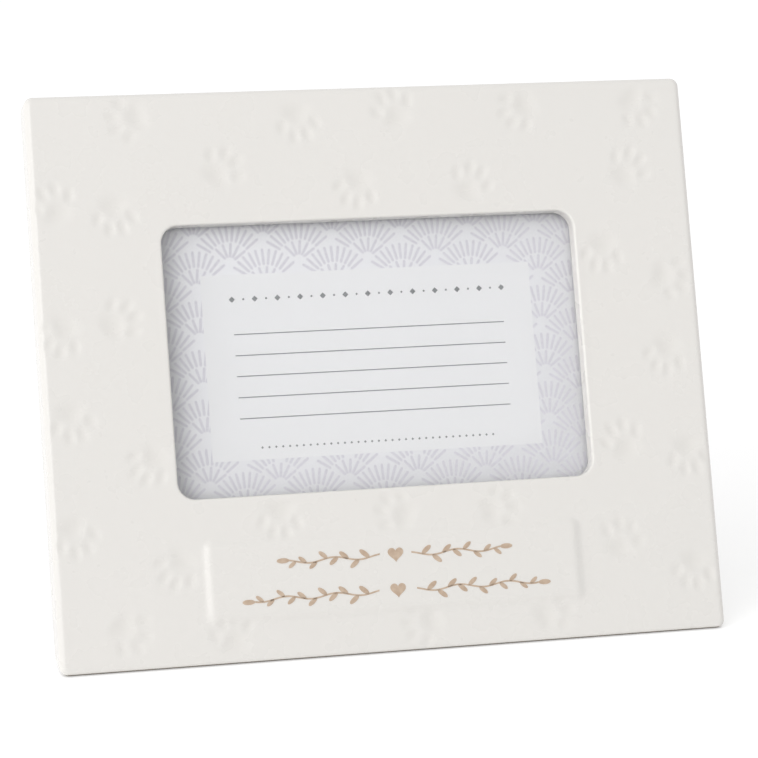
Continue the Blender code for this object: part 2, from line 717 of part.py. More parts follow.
def add_leg(leg_axis):
    """The easel leg widens to a foot that is cut level where it stands open."""
    half = LEG_TOP_WIDTH / 2
    bm = box_between((-half, LEG_FRONT, -HINGE_LIFT), (half, LEG_BACK, LEG_TOP))
    for vert in bm.verts:
        if vert.co.z < LEG_TOP:
            vert.co.x *= LEG_FOOT_WIDTH / LEG_TOP_WIDTH
            rise = HINGE_LIFT + vert.co.y * math.sin(LEG_SPLAY)
            vert.co.z = -rise / math.cos(LEG_SPLAY)
    round_corners(bm, LEG_CORNER_RADIUS, CORNER_STEPS)
    leg = add_part("easel_leg", mesh_of(bm, "easel_leg"), flock, leg_axis)
    cut_rivet_seats(leg, "leg_rivet", leg_axis, -RIVET_SETBACK, LEG_FRONT, LEG_THICKNESS)


def stance_shift():
    """How far forward the face's frame moves so that the origin is under the middle of the part."""
    rounding = EDGE_RADIUS * math.tan((math.pi / 2 - LEAN) / 2)
    front = rounding * (1 + math.sin(LEAN)) / math.cos(LEAN) - rounding
    foot = HINGE_SETBACK + HINGE_LIFT * math.tan(LEG_SPLAY) + LEG_BACK / math.cos(LEG_SPLAY)
    return -(front + foot) / 2


clear_scene()
parts = new_collection("ceramic_photo_frame")
cutters = new_collection("cutters")
glaze = new_material("off_white_glaze", (0.83, 0.81, 0.78), 0.25)
clear_glass = new_material("clear_glass", (0.90, 0.94, 0.93), 0.03)
card_paper = new_material("printed_card", (0.78, 0.77, 0.82), 0.60)
grey_card = new_material("grey_filler_card", (0.45, 0.43, 0.40), 0.85)
flock = new_material("black_flocked_board", (0.025, 0.025, 0.028), 0.95)
steel = new_material("nickel_plated_steel", (0.62, 0.61, 0.59), 0.30, 1.0)
nylon = new_material("white_nylon", (0.75, 0.74, 0.70), 0.50)

panel = empty("leaning_face", location=(0.0, stance_shift(), 0.0), rotation=(-LEAN, 0.0, 0.0))
hinge_axis = empty("hinge_axis", panel, (0.0, HINGE_DEPTH, HINGE_HEIGHT))
leg_axis = empty("leg_axis", hinge_axis, rotation=(LEG_OPENING, 0.0, 0.0))

add_ceramic_frame(panel)
add_fill(panel)
add_back_board(panel)
add_buttons(panel)
add_fixed_leaf(hinge_axis)
add_hinge_pin(hinge_axis)
add_moving_leaf(hinge_axis, leg_axis)
add_rivets("board_rivet", hinge_axis, RIVET_SETBACK, -LEAF_OFFSET, BOARD_FRONT - HINGE_DEPTH)
add_leg(leg_axis)
add_rivets("leg_rivet", leg_axis, -RIVET_SETBACK, KNUCKLE_RADIUS, LEG_FRONT)
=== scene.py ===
"""Looks of the free-standing ceramic photo frame, built round its solids.

Lengths are in millimetres and become metres where the meshes are made. Most pieces are modelled in
the frame of the leaning face: X to the right, Y back into the body, Z up along the face, from the
middle of the front bottom edge. Pieces of the leg are modelled from the hinge's axis.
"""

import json
import math

import bmesh
import bpy
import numpy as np
from mathutils import Matrix, Vector


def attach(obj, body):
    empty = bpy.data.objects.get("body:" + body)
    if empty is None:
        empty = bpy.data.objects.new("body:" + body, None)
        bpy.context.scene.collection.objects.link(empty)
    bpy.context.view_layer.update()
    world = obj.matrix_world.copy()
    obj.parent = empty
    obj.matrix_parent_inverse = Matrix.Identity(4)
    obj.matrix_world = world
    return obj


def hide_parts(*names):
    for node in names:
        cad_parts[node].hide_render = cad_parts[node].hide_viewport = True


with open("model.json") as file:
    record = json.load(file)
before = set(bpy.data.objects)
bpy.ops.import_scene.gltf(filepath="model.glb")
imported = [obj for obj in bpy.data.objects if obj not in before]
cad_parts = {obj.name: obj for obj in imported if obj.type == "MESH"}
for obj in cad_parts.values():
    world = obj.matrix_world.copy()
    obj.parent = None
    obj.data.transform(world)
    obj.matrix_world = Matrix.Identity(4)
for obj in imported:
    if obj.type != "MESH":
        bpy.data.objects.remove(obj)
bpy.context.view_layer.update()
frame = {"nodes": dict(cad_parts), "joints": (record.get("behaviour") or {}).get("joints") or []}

MM = 0.001
FRAME_BODY = "frame"
LEG_BODY = "leg"
BUTTONS = ("top_left", "top_right", "bottom_left", "bottom_right")

# Camera, in metres
CAMERA_PLACE = (-0.2155, -0.93193, 0.30905)
CAMERA_AIM = (0.2215, 0.948, -0.2286)
CAMERA_LENS = 135.7
CAMERA_SENSOR = 36.0

# Light: a sky all round, a wide low lamp from the left and a weak soft box from the upper left. The
# floor's glow is added only where the camera, a gloss or the glass sees it
SKY_LIGHT = 0.69
FLOOR_GLOW = 0.31
KEY_TOWARDS = (-0.9, -0.4, 0.08)
KEY_STRENGTH = 1.75
KEY_WIDTH = math.radians(70.0)
SOFT_BOX_PLACE = (-0.75, -0.95, 0.75)
SOFT_BOX_SIZE = 0.7
SOFT_BOX_POWER = 2.0

# Ceramic body
LIP_THICKNESS = 5.5
SEAT_GAP = 0.3
SIDE_COVER = 4.2
END_COVER = 4.65
PRINT_CLEARANCE = 0.8
WINDOW_CORNER = 6.0
WINDOW_ROUNDING = 0.8
OUTER_CORNER = 3.0
EDGE_ROUNDING = 2.3
BACK_ROUNDING = 1.2
RECESS_CORNER = 2.0
RECESS_ROUNDING = 0.4
BACK_MARGIN = 1.0
BASE_FADE = 30.0
# Below this height the ceramic gets the bare clay, painted dark as contact shade
SHADED_FOOT_HEIGHT = 0.7
PLUG_HOLE_RADIUS = 3.0
PLUG_HOLE_DEPTH = 6.9

# The cast face's slow waves: their height, and each wave's length, sway, length of sway and shift
RIPPLE = 0.05
RIPPLE_ACROSS = (17.0, 0.6, 23.0, 0.0)
RIPPLE_UP = (13.0, 0.5, 29.0, 1.7)

# Raised plaque
PLAQUE_HALF = (64.2, 13.05)
PLAQUE_CENTRE = (0.0, 27.75)
PLAQUE_RISE = 0.9
PLAQUE_CORNER = 2.0
PLAQUE_SLOPE = 3.4

# Paw prints, placed as in the solid: across the face -2 is its left edge, -1 and 1 are the sides of
# the window and 2 is its right edge, and up the face 0 is its bottom edge, 1 and 2 are the bottom and
# the top of the window and 3 is its top edge. The third number turns the print, in degrees
PAW_DEPTH = 0.5
PAD_HALF = (4.7, 3.7)
PAD_DROP = 2.6
PAD_NARROWING = 0.26
PAD_REACH = 1.5
TOE_HALF = (1.9, 2.8)
TOE_DEPTH = 0.75
TOES = ((-5.8, 1.5, 28.0), (-2.2, 5.2, 9.0), (2.2, 5.2, -9.0), (5.8, 1.5, -28.0))
PAW_REACH = 12.0
PAW_FLOOR = 0.1
PAW_BRIM = 1.35
PAWS = (
    (-1.19, 2.81, 105),
    (-0.31, 2.76, 188),
    (0.16, 2.81, 20),
    (0.78, 2.79, 125),
    (1.62, 2.79, -140),
    (-0.69, 2.41, -40),
    (-0.05, 2.24, 160),
    (0.51, 2.23, -25),
    (1.50, 2.30, -35),
    (-1.35, 2.11, 184),
    (-1.81, 2.18, 20),
    (1.23, 1.84, 172),
    (1.78, 1.73, -110),
    (-1.37, 1.66, -55),
    (-1.82, 1.62, 150),
    (1.69, 1.44, 160),
    (-1.78, 1.31, 190),
    (-1.20, 1.14, 140),
    (1.27, 1.12, 20),
    (1.81, 1.06, 185),
    (-1.81, 0.83, 200),
    (-0.53, 0.86, 175),
    (0.03, 0.85, 60),
    (0.52, 0.84, -70),
    (-1.04, 0.60, 145),
    (1.19, 0.59, -20),
    (1.77, 0.39, 170),
    (-1.45, 0.24, -130),
    (-0.79, 0.18, 15),
    (0.12, 0.17, 110),
    (0.74, 0.18, -60),
)

# Printed card: a plain panel for writing on, inside a border of scallops made of short strokes. The
# header and the footer have a height, a length, a number of figures and the sizes of even and odd ones
INK_RISE = 0.03
CARD_EDGE = 0.1
CARD_CORNER = 0.3
PANEL_SIZE = (115.3, 63.3)
PRINT_SHIFT = (-0.95, -2.0)
RULE_LENGTH = 94.7
RULE_THICKNESS = 0.34
RULE_HEIGHTS = (111.2, 104.0, 96.9, 89.7, 82.5)
HEADER = (123.2, 94.6, 25, (2.1, 0.9))
FOOTER = (72.45, 80.7, 35, (0.9, 0.9))
SCALLOP_RADIUS = 13.0
SCALLOP_STEP = (24.0, 8.4)
SCALLOP_RINGS = ((2.4, 6.6, 15), (7.8, 12.6, 33))
SCALLOP_OVERLAP = 2.2
STROKE_WIDTH = 0.95
STROKE_MARGIN = 0.7
STROKE_SAMPLES = 12
STROKE_END_STEPS = 4
SHORTEST_STROKE = 1.4

# Painted sprigs on the plaque, each row with its height and where its stems start and end
PAINT_RISE = 0.05
PAINT_ROOT = 0.3
SPRIG_UPPER = (33.0, 5.5, 36.5)
SPRIG_LOWER = (21.0, 6.5, 49.0)
SPRIG_WAVE = 0.7
SPRIG_WAVELENGTH = 17.0
STEM_WIDTH = 0.55
STEM_STEPS = 40
LEAF_SIZE = (4.3, 1.75)
LEAF_STEP = 3.6
LEAF_TURN = 40.0
LEAF_SHRINK = 0.25
HEART_SIZE = 5.4

# Hardware: heads and tails have a radius and a height, and the slot has a width and a depth
SCREW_RADIUS = 1.5
SCREW_LENGTH = 9.0
SCREW_POINT = 1.5
SCREW_HEAD = (3.0, 1.7)
SCREW_HEAD_EDGE = 0.3
SCREW_CHAMFER = 0.12
SCREW_SLOT = (0.8, 0.8)
SCREW_TURN = 35.0
SCREW_TURN_STEP = 47.0
SLOT_CORNER = 0.1
CUT_REACH = 1.0
BUTTON_WIDTH = 9.0
BUTTON_THICKNESS = 1.0
BUTTON_END_FLAT = 0.05
BUTTON_HOLE_RADIUS = 1.8
BUTTON_HOLE_CUT = (-1.0, 3.0)
STAMPED_EDGE = 0.22
KNUCKLE_RADIUS = 2.05
KNUCKLE_MOUTH = 0.18
PIN_RADIUS = 1.0
PIN_CLEARANCE = 0.15
PIN_OVERHANG = 0.15
PIN_HEAD = (1.6, 0.6)
HINGE_WIDTH = 30.0
OUTER_KNUCKLE = 5.7
KNUCKLE_GAP = 0.3
LEAF_THICKNESS = 1.0
LEAF_LENGTH = 12.0
LEAF_CORNER = 1.5
HEEL_HALF = 4.0
HEEL_REACH = 3.17
RIVET_SPREAD = 10.0
RIVET_SETBACK = 7.5
RIVET_HEAD = (2.3, 0.9)
RIVET_CHAMFER = (0.15, 0.12)
RIVET_SHANK = 1.2
RIVET_TAIL = (2.0, 0.4)
RIVET_CLEARANCE = 0.2
LEG_THICKNESS = 2.5
LEG_TOP_WIDTH = 34.0
LEG_FOOT_WIDTH = 50.0
LEG_CORNER = 3.0
LEG_TOP_GAP = 0.45
BOARD_EDGE = 0.35
BOARD_EDGE_SHARE = 0.99

# Floor, in metres
FLOOR_HALF = 6.0
FLOOR_CELLS = 8
FLOOR_DROP = 0.00005

# How finely the ceramic is cut, in stations round the frame and rows from the window to the back
SIDE_STATIONS = 186
END_STATIONS = 254
CORNER_STATIONS = 14
FACE_ROWS = 58
FADE_ROWS = 3
WALL_ROWS = 5
ROUNDING_ROWS = 9
EDGE_ROUNDING_ROWS = 12
SMALL_ROUNDING_ROWS = 5
HOLE_SIDES = 40
TURNED_SIDES = 40
SMOOTH_ANGLE = math.radians(38.0)


def joint(name):
    return next(found for found in frame["joints"] if found["name"] == name)


def leaning_box(node, origin=(0.0, 0.0, 0.0)):
    """A node's lowest and highest corners in the frame of the leaning face, in millimetres."""
    axes = np.array(((1.0, 0.0, 0.0), tuple(DEPTH_AXIS), tuple(UP_AXIS)))
    points = np.array([vertex.co for vertex in frame["nodes"][node].data.vertices])
    local = (points - np.array(origin)) @ axes.T / MM
    return local.min(axis=0), local.max(axis=0)


# The leaning face's frame, from the solids
DEPTH_AXIS = Vector(joint("button_top_left_turn")["axis"])
UP_AXIS = Vector((0.0, -DEPTH_AXIS.z, DEPTH_AXIS.y))
LEAN = math.atan2(-DEPTH_AXIS.z, DEPTH_AXIS.y)
FACE_DEPTH = leaning_box("glass_pane")[0][1] - LIP_THICKNESS - SEAT_GAP
FACE_ORIGIN = Vector((0.0, FACE_DEPTH * MM / math.cos(LEAN), 0.0))
FACE = Matrix.Translation(FACE_ORIGIN) @ Matrix.Rotation(-LEAN, 4, "X")
HINGE_PLACE = Vector(joint("easel_leg_fold")["pos_m"])
LEG_OPENING = math.radians(joint("easel_leg_fold")["range_deg"][1])
HINGE = Matrix.Translation(HINGE_PLACE) @ Matrix.Rotation(-LEAN, 4, "X")
LEG = Matrix.Translation(HINGE_PLACE) @ Matrix.Rotation(LEG_OPENING - LEAN, 4, "X")

# Sizes taken from the solids, in the frame of the face
FRAME_HIGH = leaning_box("ceramic_frame", FACE_ORIGIN)[1]
CARD_LOW, CARD_HIGH = leaning_box("print_card", FACE_ORIGIN)
BOARD_LOW, BOARD_HIGH = leaning_box("back_board", FACE_ORIGIN)
FRAME_HALF = FRAME_HIGH[0]
FRAME_HEIGHT = FRAME_HIGH[2]
FRAME_THICKNESS = FRAME_HIGH[1]
PLUG_HOLE_FLOOR = FRAME_THICKNESS - PLUG_HOLE_DEPTH
PRINT_CENTRE = (CARD_LOW[2] + CARD_HIGH[2]) / 2
PRINT_HALF = ((CARD_HIGH[0] - CARD_LOW[0]) / 2, (CARD_HIGH[2] - CARD_LOW[2]) / 2)
WINDOW_HALF = (PRINT_HALF[0] - SIDE_COVER, PRINT_HALF[1] - END_COVER)
RECESS_HALF = (PRINT_HALF[0] + PRINT_CLEARANCE, PRINT_HALF[1] + PRINT_CLEARANCE)
PANEL_CENTRE = (PRINT_SHIFT[0], PRINT_CENTRE + PRINT_SHIFT[1])
HINGE_DEPTH = (FACE.inverted() @ HINGE_PLACE).y / MM
LEG_LIFT = HINGE_PLACE.z / MM


def ease(share):
    """A smooth step from 0 to 1."""
    share = np.clip(share, 0.0, 1.0)
    return share * share * (3.0 - 2.0 * share)


class Outline:
    """A rounded rectangle, as its corners' centres and their radius, followed station by station."""

    def __init__(self, middle, half, corner):
        self.middle = np.array(middle)
        self.half = np.array(half) - corner
        self.corner = corner

    def loop(self, signs, normals, offset):
        """The outline moved outwards by an offset."""
        return self.middle + self.half * signs + (self.corner + np.reshape(offset, (-1, 1))) * normals


def stations():
    """Each station round the frame: its place between the corners' centres, and its normal."""
    corners = np.array(((1.0, -1.0), (1.0, 1.0), (-1.0, 1.0), (-1.0, -1.0)))
    signs = []
    normals = []
    for side in range(4):
        start, end = corners[side], corners[(side + 1) % 4]
        angle = side * math.pi / 2
        count = SIDE_STATIONS if side % 2 == 0 else END_STATIONS
        for step in range(count):
            signs.append(start + (end - start) * step / count)
            normals.append((math.cos(angle), math.sin(angle)))
        for step in range(CORNER_STATIONS):
            turned = angle + math.pi / 2 * step / CORNER_STATIONS
            signs.append(end)
            normals.append((math.cos(turned), math.sin(turned)))
    return np.array(signs), np.array(normals)


def face_place(across, up):
    """The point of the face that a print's two numbers stand for."""
    sides = (-FRAME_HALF, -WINDOW_HALF[0], WINDOW_HALF[0], FRAME_HALF)
    levels = (0.0, PRINT_CENTRE - WINDOW_HALF[1], PRINT_CENTRE + WINDOW_HALF[1], FRAME_HEIGHT)
    return np.array((np.interp(across, (-2, -1, 1, 2), sides), np.interp(up, (0, 1, 2, 3), levels)))


def turned_points(points, degrees):
    """Points in the axes of something turned by this many degrees."""
    cosine, sine = math.cos(math.radians(degrees)), math.sin(math.radians(degrees))
    return points @ np.array(((cosine, -sine), (sine, cosine)))


def dish(reach):
    """The depth of one soft dent, from 1 at its middle to 0 past its rim, where the reach is 1."""
    return 1.0 - ease((reach - PAW_FLOOR) / (PAW_BRIM - PAW_FLOOR))


def paw_depth(points):
    """How deep the paw prints are at points of the face: soft dishes that keep a level floor."""
    depth = np.zeros(len(points))
    for across, up, degrees in PAWS:
        offset = points - face_place(across, up)
        near = np.flatnonzero(np.hypot(offset[:, 0], offset[:, 1]) < PAW_REACH)
        local = turned_points(offset[near], degrees)
        x, z = local[:, 0], local[:, 1] + PAD_DROP
        width = PAD_HALF[0] * (1 - PAD_NARROWING * np.clip(z / PAD_HALF[1], -PAD_REACH, PAD_REACH))
        print_depth = dish(np.hypot(x / width, z / PAD_HALF[1]))
        for toe_x, toe_z, tilt in TOES:
            toe = turned_points(local - np.array((toe_x, toe_z)), tilt)
            toe_depth = TOE_DEPTH * dish(np.hypot(toe[:, 0] / TOE_HALF[0], toe[:, 1] / TOE_HALF[1]))
            print_depth = np.maximum(print_depth, toe_depth)
        depth[near] = np.maximum(depth[near], print_depth)
    return PAW_DEPTH * depth


def plaque_share(points):
    """1 on the plaque, 0 on the face round it, with a soft slope between."""
    offset = np.abs(points - np.array(PLAQUE_CENTRE)) - np.array(PLAQUE_HALF) + PLAQUE_CORNER
    outside = np.hypot(*np.maximum(offset, 0.0).T)
    distance = outside + np.minimum(offset.max(axis=1), 0.0) - PLAQUE_CORNER
    return ease(0.5 - distance / PLAQUE_SLOPE)


def swaying_wave(along, across, wave):
    """A wave along one direction whose crests sway with the other."""
    length, sway, sway_length, shift = wave
    return np.sin(along / length + shift + sway * np.sin(across / sway_length))


def ripple(points):
    """The slow unevenness of a cast and glazed face, from 0 down to twice its height."""
    x, z = points[:, 0], points[:, 1]
    waves = swaying_wave(x, z, RIPPLE_ACROSS) + swaying_wave(z, x, RIPPLE_UP)
    return RIPPLE * (waves / 2 - 1.0)


def surface_rise(points):
    """How far the face stands in front of its plane, and how deep the prints press it."""
    on_plaque = plaque_share(points)
    pressed = paw_depth(points) * (1.0 - on_plaque)
    return PLAQUE_RISE * on_plaque - pressed + ripple(points), pressed


def ceramic_rows():
    """Loops of points from the recess's back edge, through the window, over the face to the back.

    With each point goes its share of the glaze that pools in the prints.
    """
    signs, normals = stations()
    window = Outline((0.0, PRINT_CENTRE), WINDOW_HALF, WINDOW_CORNER)
    recess = Outline((0.0, PRINT_CENTRE), RECESS_HALF, RECESS_CORNER)
    outside = Outline((0.0, FRAME_HEIGHT / 2), (FRAME_HALF, FRAME_HEIGHT / 2), OUTER_CORNER)
    rows = []
    pools = []

    def add(outline, offset, depth):
        points = outline.loop(signs, normals, offset)
        rows.append(np.column_stack((points[:, 0], np.zeros(len(points)) + depth, points[:, 1])))
        pools.append(np.zeros(len(points)))

    def add_face(points, depth, weight):
        rise, pressed = surface_rise(points)
        rows.append(np.column_stack((points[:, 0], depth - weight * rise, points[:, 1])))
        pools.append(weight * pressed / PAW_DEPTH)

    add(recess, RECESS_ROUNDING + BACK_MARGIN, FRAME_THICKNESS)
    for turn in np.linspace(0.0, math.pi / 2, SMALL_ROUNDING_ROWS):
        inset = RECESS_ROUNDING * (1 - math.sin(turn))
        add(recess, inset, FRAME_THICKNESS - RECESS_ROUNDING * (1 - math.cos(turn)))
    add(recess, 0.0, LIP_THICKNESS)
    add(window, 0.0, LIP_THICKNESS)
    for depth in np.linspace(LIP_THICKNESS, WINDOW_ROUNDING, WALL_ROWS)[1:-1]:
        add(window, 0.0, depth)
    for turn in np.linspace(0.0, math.pi / 2, ROUNDING_ROWS)[:-1]:
        add(window, WINDOW_ROUNDING * (1 - math.cos(turn)), WINDOW_ROUNDING * (1 - math.sin(turn)))
    inner = window.loop(signs, normals, WINDOW_ROUNDING)
    outer = outside.loop(signs, normals, -EDGE_ROUNDING)
    for share in np.linspace(0.0, 1.0, FACE_ROWS):
        weight = float(ease(share * FACE_ROWS / FADE_ROWS))
        add_face(inner + (outer - inner) * share, 0.0, weight)
    for turn in np.linspace(0.0, math.pi / 2, EDGE_ROUNDING_ROWS)[1:]:
        points = outside.loop(signs, normals, -EDGE_ROUNDING * (1 - math.sin(turn)))
        add_face(points, EDGE_ROUNDING * (1 - math.cos(turn)), math.cos(turn))
    back_edge = FRAME_THICKNESS - BACK_ROUNDING
    for depth in np.linspace(EDGE_ROUNDING, back_edge, WALL_ROWS)[1:]:
        add(outside, 0.0, depth)
    for turn in np.linspace(0.0, math.pi / 2, SMALL_ROUNDING_ROWS)[1:]:
        inset = BACK_ROUNDING * (1 - math.cos(turn))
        add(outside, -inset, back_edge + BACK_ROUNDING * math.sin(turn))
    add(outside, -BACK_ROUNDING - BACK_MARGIN, FRAME_THICKNESS)
    return np.array(rows), np.array(pools)


def slope_base(points):
    """Slopes the underside so that it is level when the face leans."""
    fade = np.clip(1.0 - points[:, 2] / BASE_FADE, 0.0, 1.0)
    points[:, 2] += np.clip(points[:, 1], 0.0, None) * math.tan(LEAN) * fade
    return points


def button_places():
    """The place of each turn button's pivot on the back of the ceramic, across and up the face."""
    inverse = FACE.inverted()
    for name in BUTTONS:
        pivot = inverse @ Vector(joint(f"button_{name}_turn")["pos_m"])
        yield pivot.x / MM, pivot.z / MM


def circle(radius, sides):
    """Points round a circle, each as two coordinates."""
    turns = [2 * math.pi * side / sides for side in range(sides)]
    return [(radius * math.cos(turn), radius * math.sin(turn)) for turn in turns]


def add_plug_holes(bm):
    """Adds the walls and bottoms of the four blind holes in the back, and returns their rims' edges."""
    rims = []
    ring = circle(PLUG_HOLE_RADIUS, HOLE_SIDES)
    for x, z in button_places():
        mouth = [bm.verts.new((x + across, FRAME_THICKNESS, z + up)) for across, up in ring]
        floor = [bm.verts.new((x + across, PLUG_HOLE_FLOOR, z + up)) for across, up in ring]
        for side in range(HOLE_SIDES):
            after = (side + 1) % HOLE_SIDES
            bm.faces.new((mouth[side], mouth[after], floor[after], floor[side]))
            rims.append(bm.edges.get((mouth[side], mouth[after])))
        bm.faces.new(floor)
    return rims


def ceramic_mesh():
    """The closed ceramic, in metres, with the pooled glaze as an attribute of its points."""
    rows, pools = ceramic_rows()
    count, round_count = rows.shape[:2]
    points = slope_base(rows.reshape(-1, 3))
    index = np.arange(count * round_count).reshape(count, round_count)
    after = np.roll(index, -1, axis=1)
    quads = np.stack((index[:-1], after[:-1], after[1:], index[1:]), axis=-1).reshape(-1, 4)
    grid = bpy.data.meshes.new("ceramic_grid")
    grid.from_pydata(points, [], quads)
    pool = grid.attributes.new("glaze_pool", "FLOAT", "POINT")
    pool.data.foreach_set("value", pools.reshape(-1).astype(np.float32))
    bm = bmesh.new()
    bm.from_mesh(grid)
    bpy.data.meshes.remove(grid)
    open_edges = [edge for edge in bm.edges if edge.is_boundary]
    rims = add_plug_holes(bm)
    bmesh.ops.triangle_fill(bm, use_beauty=True, edges=open_edges + rims, normal=(0.0, 1.0, 0.0))
    return finished(bm, "ceramic_body")


def new_object(name, data):
    """An object that stands in the scene."""
    item = bpy.data.objects.new(name, data)
    bpy.context.scene.collection.objects.link(item)
    return item


def add_piece(name, mesh, materials, matrix, body, node=None):
    """A piece, moved from its own frame to its place, that rides on a body and may replace a node."""
    for material in materials:
        mesh.materials.append(material)
    mesh.transform(matrix)
    piece = new_object(name, mesh)
    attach(piece, body)
    if node:
        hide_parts(node)


def finished(bm, name):
    """The mesh of a bmesh in millimetres, closed, in metres and shaded smooth between sharp edges."""
    bmesh.ops.recalc_face_normals(bm, faces=bm.faces)
    bmesh.ops.scale(bm, vec=(MM, MM, MM), verts=bm.verts)
    mesh = bpy.data.meshes.new(name)
    bm.to_mesh(mesh)
    bm.free()
    mesh.shade_smooth()
    mesh.set_sharp_from_angle(angle=SMOOTH_ANGLE)
    return mesh


def add_prism(bm, points, front, back):
    """Extrudes an outline of (x, z) points from one depth to another."""
    base = bm.faces.new([bm.verts.new((x, front, z)) for x, z in points])
    grown = bmesh.ops.extrude_face_region(bm, geom=[base])
    moved = [item for item in grown["geom"] if isinstance(item, bmesh.types.BMVert)]
    bmesh.ops.translate(bm, vec=(0.0, back - front, 0.0), verts=moved)


def rounded_rectangle(low, high, corner, steps=6):
    """Points round a rounded rectangle between two (x, z) corners."""
    points = []
    middle = Vector(((low[0] + high[0]) / 2, (low[1] + high[1]) / 2))
    half = Vector(((high[0] - low[0]) / 2 - corner, (high[1] - low[1]) / 2 - corner))
    for quarter, signs in enumerate(((1, 1), (-1, 1), (-1, -1), (1, -1))):
        centre = middle + Vector((half.x * signs[0], half.y * signs[1]))
        for step in range(steps + 1):
            turn = (quarter + step / steps) * math.pi / 2
            points.append(tuple(centre + corner * Vector((math.cos(turn), math.sin(turn)))))
    return points


def plate(points, front, back, edge):
    """A flat sheet with this outline, rounded between its front or back and its sides."""
    bm = bmesh.new()
    add_prism(bm, points, front, back)
    rims = [rim for rim in bm.edges if len({round(vert.co.y, 4) for vert in rim.verts}) == 1]
    bmesh.ops.bevel(bm, geom=rims, offset=edge, segments=2, profile=0.5, affect="EDGES")
    return bm


def add_turned(bm, profile, axis, closed=False):
    """Turns a profile of (radius, place) points about an axis, as a solid or as a closed tube."""
    rings = []
    for radius, place in profile:
        ring = circle(radius, TURNED_SIDES) if radius else [(0.0, 0.0)]
        rings.append([bm.verts.new((*point, place)) for point in ring])
    for lower, upper in zip(rings, rings[1:] + rings[:1] if closed else rings[1:]):
        for side in range(TURNED_SIDES):
            after = (side + 1) % TURNED_SIDES
            corners = [lower[side % len(lower)], lower[after % len(lower)]]
            corners += [upper[after % len(upper)], upper[side % len(upper)]]
            bm.faces.new(list(dict.fromkeys(corners)))
    turn = Matrix.Rotation(-math.pi / 2, 3, "X") if axis == "Y" else Matrix.Rotation(math.pi / 2, 3, "Y")
    bmesh.ops.rotate(bm, matrix=turn, verts=[vert for ring in rings for vert in ring])


def turned_mesh(name, profile, axis="Y"):
    """A turned piece on its own, round the axis given."""
    bm = bmesh.new()
    add_turned(bm, profile, axis)
    return finished(bm, name)


def domed(radius, height, base, steps=7):
    """Profile points of a low dome, from its rim up to its top."""
    turns = [math.pi / 2 * step / steps for step in range(steps + 1)]
    points = [(radius * math.cos(turn), base + height * math.sin(turn)) for turn in turns]
    points[-1] = (0.0, base + height)
    return points


def shader_of(material):
    return material.node_tree.nodes["Principled BSDF"]


def new_material(name, colour, roughness, others=()):
    """A material with these values set on its shader, others being pairs of a socket and its value."""
    material = bpy.data.materials.new(name)
    material.use_nodes = True
    material.diffuse_color = (*colour, 1.0)
    for socket, value in (("Base Color", (*colour, 1.0)), ("Roughness", roughness), *others):
        shader_of(material).inputs[socket].default_value = value
    return material


def link_to(material, value, socket):
    material.node_tree.links.new(value, shader_of(material).inputs[socket])


def add_noise(material, scale, detail=3.0, roughness=0.5, stretch=(1.0, 1.0, 1.0)):
    """Noise in the piece's own coordinates, in metres. Returns its value."""
    nodes, links = material.node_tree.nodes, material.node_tree.links
    place = nodes.new("ShaderNodeTexCoord")
    mapping = nodes.new("ShaderNodeMapping")
    mapping.inputs["Scale"].default_value = stretch
    noise = nodes.new("ShaderNodeTexNoise")
    noise.inputs["Scale"].default_value = scale
    noise.inputs["Detail"].default_value = detail
    noise.inputs["Roughness"].default_value = roughness
    links.new(place.outputs["Object"], mapping.inputs["Vector"])
    links.new(mapping.outputs["Vector"], noise.inputs["Vector"])
    return noise.outputs["Fac"]


def between(material, value, low=0.0, high=1.0, start=0.35, end=0.65):
    """Maps a value from the range between start and end to the range between low and high."""
    spread = material.node_tree.nodes.new("ShaderNodeMapRange")
    spread.inputs["From Min"].default_value = start
    spread.inputs["From Max"].default_value = end
    spread.inputs["To Min"].default_value = low
    spread.inputs["To Max"].default_value = high
    material.node_tree.links.new(value, spread.inputs["Value"])
    return spread.outputs["Result"]


def mixed(material, share, first, second):
    """A colour between two, each a colour or another node's output."""
    mix = material.node_tree.nodes.new("ShaderNodeMix")
    mix.data_type = "RGBA"
    material.node_tree.links.new(share, mix.inputs["Factor"])
    for socket, value in ((mix.inputs["A"], first), (mix.inputs["B"], second)):
        if isinstance(value, tuple):
            socket.default_value = (*value, 1.0)
        else:
            material.node_tree.links.new(value, socket)
    return mix.outputs["Result"]


def tint(material, share, first, second):
    """Lets a value choose the base colour between two."""
    link_to(material, mixed(material, share, first, second), "Base Color")


def add_bump(material, value, strength, depth):
    """Raises the surface with a value, over a depth in millimetres."""
    bump = material.node_tree.nodes.new("ShaderNodeBump")
    bump.inputs["Strength"].default_value = strength
    bump.inputs["Distance"].default_value = depth * MM
    material.node_tree.links.new(value, bump.inputs["Height"])
    link_to(material, bump.outputs["Normal"], "Normal")


def glaze_material():
    """Off-white glaze: clouded a little, pooled warmer in the prints, with a faint orange-peel skin."""
    coat = (("Coat Weight", 0.4), ("Coat Roughness", 0.1))
    material = new_material("off_white_glaze", (0.83, 0.81, 0.78), 0.28, coat)
    cloud = between(material, add_noise(material, 14.0, detail=1.0), start=0.2, end=0.8)
    ground = mixed(material, cloud, (0.838, 0.816, 0.782), (0.828, 0.808, 0.774))
    pool = material.node_tree.nodes.new("ShaderNodeAttribute")
    pool.attribute_name = "glaze_pool"
    share = between(material, pool.outputs["Fac"], 0.0, 0.4, start=0.0, end=1.0)
    tint(material, share, ground, (0.800, 0.776, 0.735))
    dullness = between(material, add_noise(material, 90.0), 0.25, 0.31, start=0.2, end=0.8)
    link_to(material, dullness, "Roughness")
    add_bump(material, add_noise(material, 420.0, detail=2.0), strength=0.05, depth=0.08)
    return material


